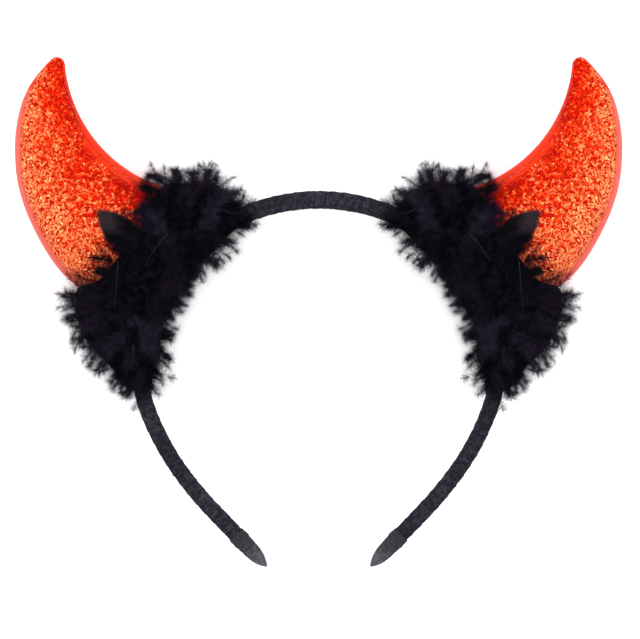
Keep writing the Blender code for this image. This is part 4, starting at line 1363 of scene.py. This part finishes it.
# Stray quills: pixels along each in the photograph's left half, height over the hoop plane, and radius
QUILLS = rows(
    "pixels height radius",
    (((120.6, 262), (119.8, 278), (117, 309)), 17.6 * MM, 0.13 * MM),
    (((170, 235), (160, 246), (149, 262)), 17.4 * MM, 0.15 * MM),
    (((224, 210), (232, 214), (244, 213)), 12.6 * MM, 0.13 * MM),
    (((154, 180), (168, 178.6), (182, 180)), 15.0 * MM, 0.1 * MM),
    (((135, 345), (136.4, 353), (136, 364)), 16.4 * MM, 0.1 * MM),
)


def quill_rings(pixels, height, radius):
    """Rings of a thin tapered quill on an arch through three pixels."""
    start, middle, end = (at_pixel(*pixel) for pixel in pixels)
    t = np.linspace(0, 1, 25)[:, None]
    control = 2 * middle - (start + end) / 2
    flat = (1 - t) ** 2 * start + 2 * t * (1 - t) * control + t**2 * end
    centre = with_height(flat, height + 0.7 * MM * np.sin(math.pi * t[:, 0]))
    way = unit(np.gradient(centre, axis=0))
    aside = unit(np.cross(way, (0.0, 0.0, 1.0)))
    up = np.cross(way, aside)
    angle = 2 * math.pi * np.arange(8)[None, :, None] / 8
    size = radius * (1 - 0.7 * t[:, None])
    return centre[:, None] + size * (np.cos(angle) * aside[:, None] + np.sin(angle) * up[:, None])


class HEADBAND_OT_feathers(bpy.types.Operator):
    """Lays the broad feather and the stray quills on each collar"""

    bl_idname = "headband.feathers"
    bl_label = "Broad feathers and quills"

    def execute(self, context):
        look = context.scene.headband_collars
        chance = np.random.default_rng(FEATHER_SEED)
        vane, tones = feather_vane(chance)
        made = feather_material()
        quill_made = quill_material(look)
        tubes = [quill_rings(**quill) for quill in QUILLS]
        points = np.concatenate([tube.reshape(-1, 3) for tube in tubes])
        faces, first = [], 0
        for tube in tubes:
            faces += [[corner + first for corner in face] for face in tube_faces(*tube.shape[:2])]
            first += tube.shape[0] * tube.shape[1]
        for word, side in SIDES:
            strands_piece(f"broad_feather_{word}", vane, tones, made, side)
            mesh_piece(f"stray_quills_{word}", points, faces, quill_made, side)
        return {"FINISHED"}


# Stage


def area_light(name, place_at, aim, size, power):
    """Square lamp that looks at a point."""
    data = bpy.data.lights.new(name, "AREA")
    data.shape = "SQUARE"
    data.size = size
    data.energy = power
    lamp = new_object(name, data)
    lamp.location = place_at
    lamp.rotation_euler = (Vector(aim) - Vector(place_at)).to_track_quat("-Z", "Y").to_euler()


def paper_material(look):
    """Matt paper on a light table: near white, lit from below too, with a grain that softens the light."""
    made, shader = new_material("background_paper")
    # Fibres of 0.8 mm
    fibre = on_piece(made, "ShaderNodeTexNoise", Scale=1250, Detail=3).outputs["Fac"]
    normal = bumped(made, fibre, 0.05, 0.1 * MM)
    set_shader(made, shader, Base_Color=look.surface, Roughness=0.9, Normal=normal, Specular_IOR_Level=0.2)
    set_shader(made, shader, Emission_Color=look.surface, Emission_Strength=look.glow)
    return made


class HEADBAND_OT_stage(bpy.types.Operator):
    """Sets up the surface, the lights and the camera"""

    bl_idname = "headband.stage"
    bl_label = "Stage"

    def execute(self, context):
        look = context.scene.headband_stage
        mesh = bpy.data.meshes.new("surface")
        corners = [(-FLOOR_HALF, -FLOOR_HALF, 0), (FLOOR_HALF, -FLOOR_HALF, 0)]
        corners += [(FLOOR_HALF, FLOOR_HALF, 0), (-FLOOR_HALF, FLOOR_HALF, 0)]
        mesh.from_pydata(corners, [], [(0, 1, 2, 3)])
        mesh.materials.append(paper_material(look))
        floor = new_object("surface", mesh)

        sky = bpy.data.worlds.new("studio")
        sky.use_nodes = True
        background = sky.node_tree.nodes["Background"]
        background.inputs["Color"].default_value = linear("#fcfcff")
        background.inputs["Strength"].default_value = look.sky
        context.scene.world = sky
        context.scene.view_settings.view_transform = "Standard"

        for word, side in SIDES:
            horn = (0.05 * side, 0.02, 0.01)
            point = (0.08 * side, 0.03, 0.02)
            area_light(f"side_light_{word}", (0.75 * side, 0.1, 0.55), horn, 0.35, look.side_power)
            area_light(f"glint_{word}", (0.25 * side, 0.35, 0.9), point, 0.05, look.top_power / 4)
        for name, way in (("back_light", 1), ("front_light", -1)):
            area_light(name, (0, 0.8 * way, 0.7), (0, 0.0, 0.01), 0.5, look.top_power)

        data = bpy.data.cameras.new("camera")
        right = (IMAGE_WIDTH / 2 - MIDDLE_PIXEL[0]) * PIXEL
        up = (MIDDLE_PIXEL[1] - IMAGE_HEIGHT / 2) * PIXEL
        data.lens = data.sensor_width * look.height / (IMAGE_WIDTH * PIXEL)
        camera = new_object("camera", data)
        camera.location = Vector((right, up, 0)) + Vector((0, 0, CROWN[2] + look.height))
        context.scene.camera = camera
        return {"FINISHED"}


OPERATORS = (
    HEADBAND_OT_stage,
    HEADBAND_OT_hoop,
    HEADBAND_OT_caps,
    HEADBAND_OT_horns,
    HEADBAND_OT_edges,
    HEADBAND_OT_collars,
    HEADBAND_OT_feathers,
)

LOOKS = (
    ("headband_hoop", HoopLook),
    ("headband_horns", HornLook),
    ("headband_collars", CollarLook),
    ("headband_stage", StageLook),
)


class HEADBAND_PT_panel(bpy.types.Panel):
    """Settings and pieces of the headband"""

    bl_idname = "HEADBAND_PT_panel"
    bl_label = "Headband"
    bl_space_type = "VIEW_3D"
    bl_region_type = "UI"
    bl_category = "Headband"

    def draw(self, context):
        for attribute, look in LOOKS:
            box = self.layout.box()
            box.label(text=look.__doc__)
            for name in look.__annotations__:
                box.prop(getattr(context.scene, attribute), name)
        for operator in OPERATORS:
            self.layout.operator(operator.bl_idname)


def register():
    for attribute, look in LOOKS:
        bpy.utils.register_class(look)
        setattr(bpy.types.Scene, attribute, bpy.props.PointerProperty(type=look))
    for made in OPERATORS + (HEADBAND_PT_panel,):
        bpy.utils.register_class(made)


def unregister():
    for made in (HEADBAND_PT_panel,) + OPERATORS[::-1]:
        bpy.utils.unregister_class(made)
    for attribute, look in LOOKS[::-1]:
        delattr(bpy.types.Scene, attribute)
        bpy.utils.unregister_class(look)


def main():
    register()
    bpy.ops.headband.stage()
    bpy.ops.headband.hoop()
    bpy.ops.headband.caps()
    bpy.ops.headband.horns()
    bpy.ops.headband.edges()
    bpy.ops.headband.collars()
    bpy.ops.headband.feathers()


if __name__ == "__main__":
    main()
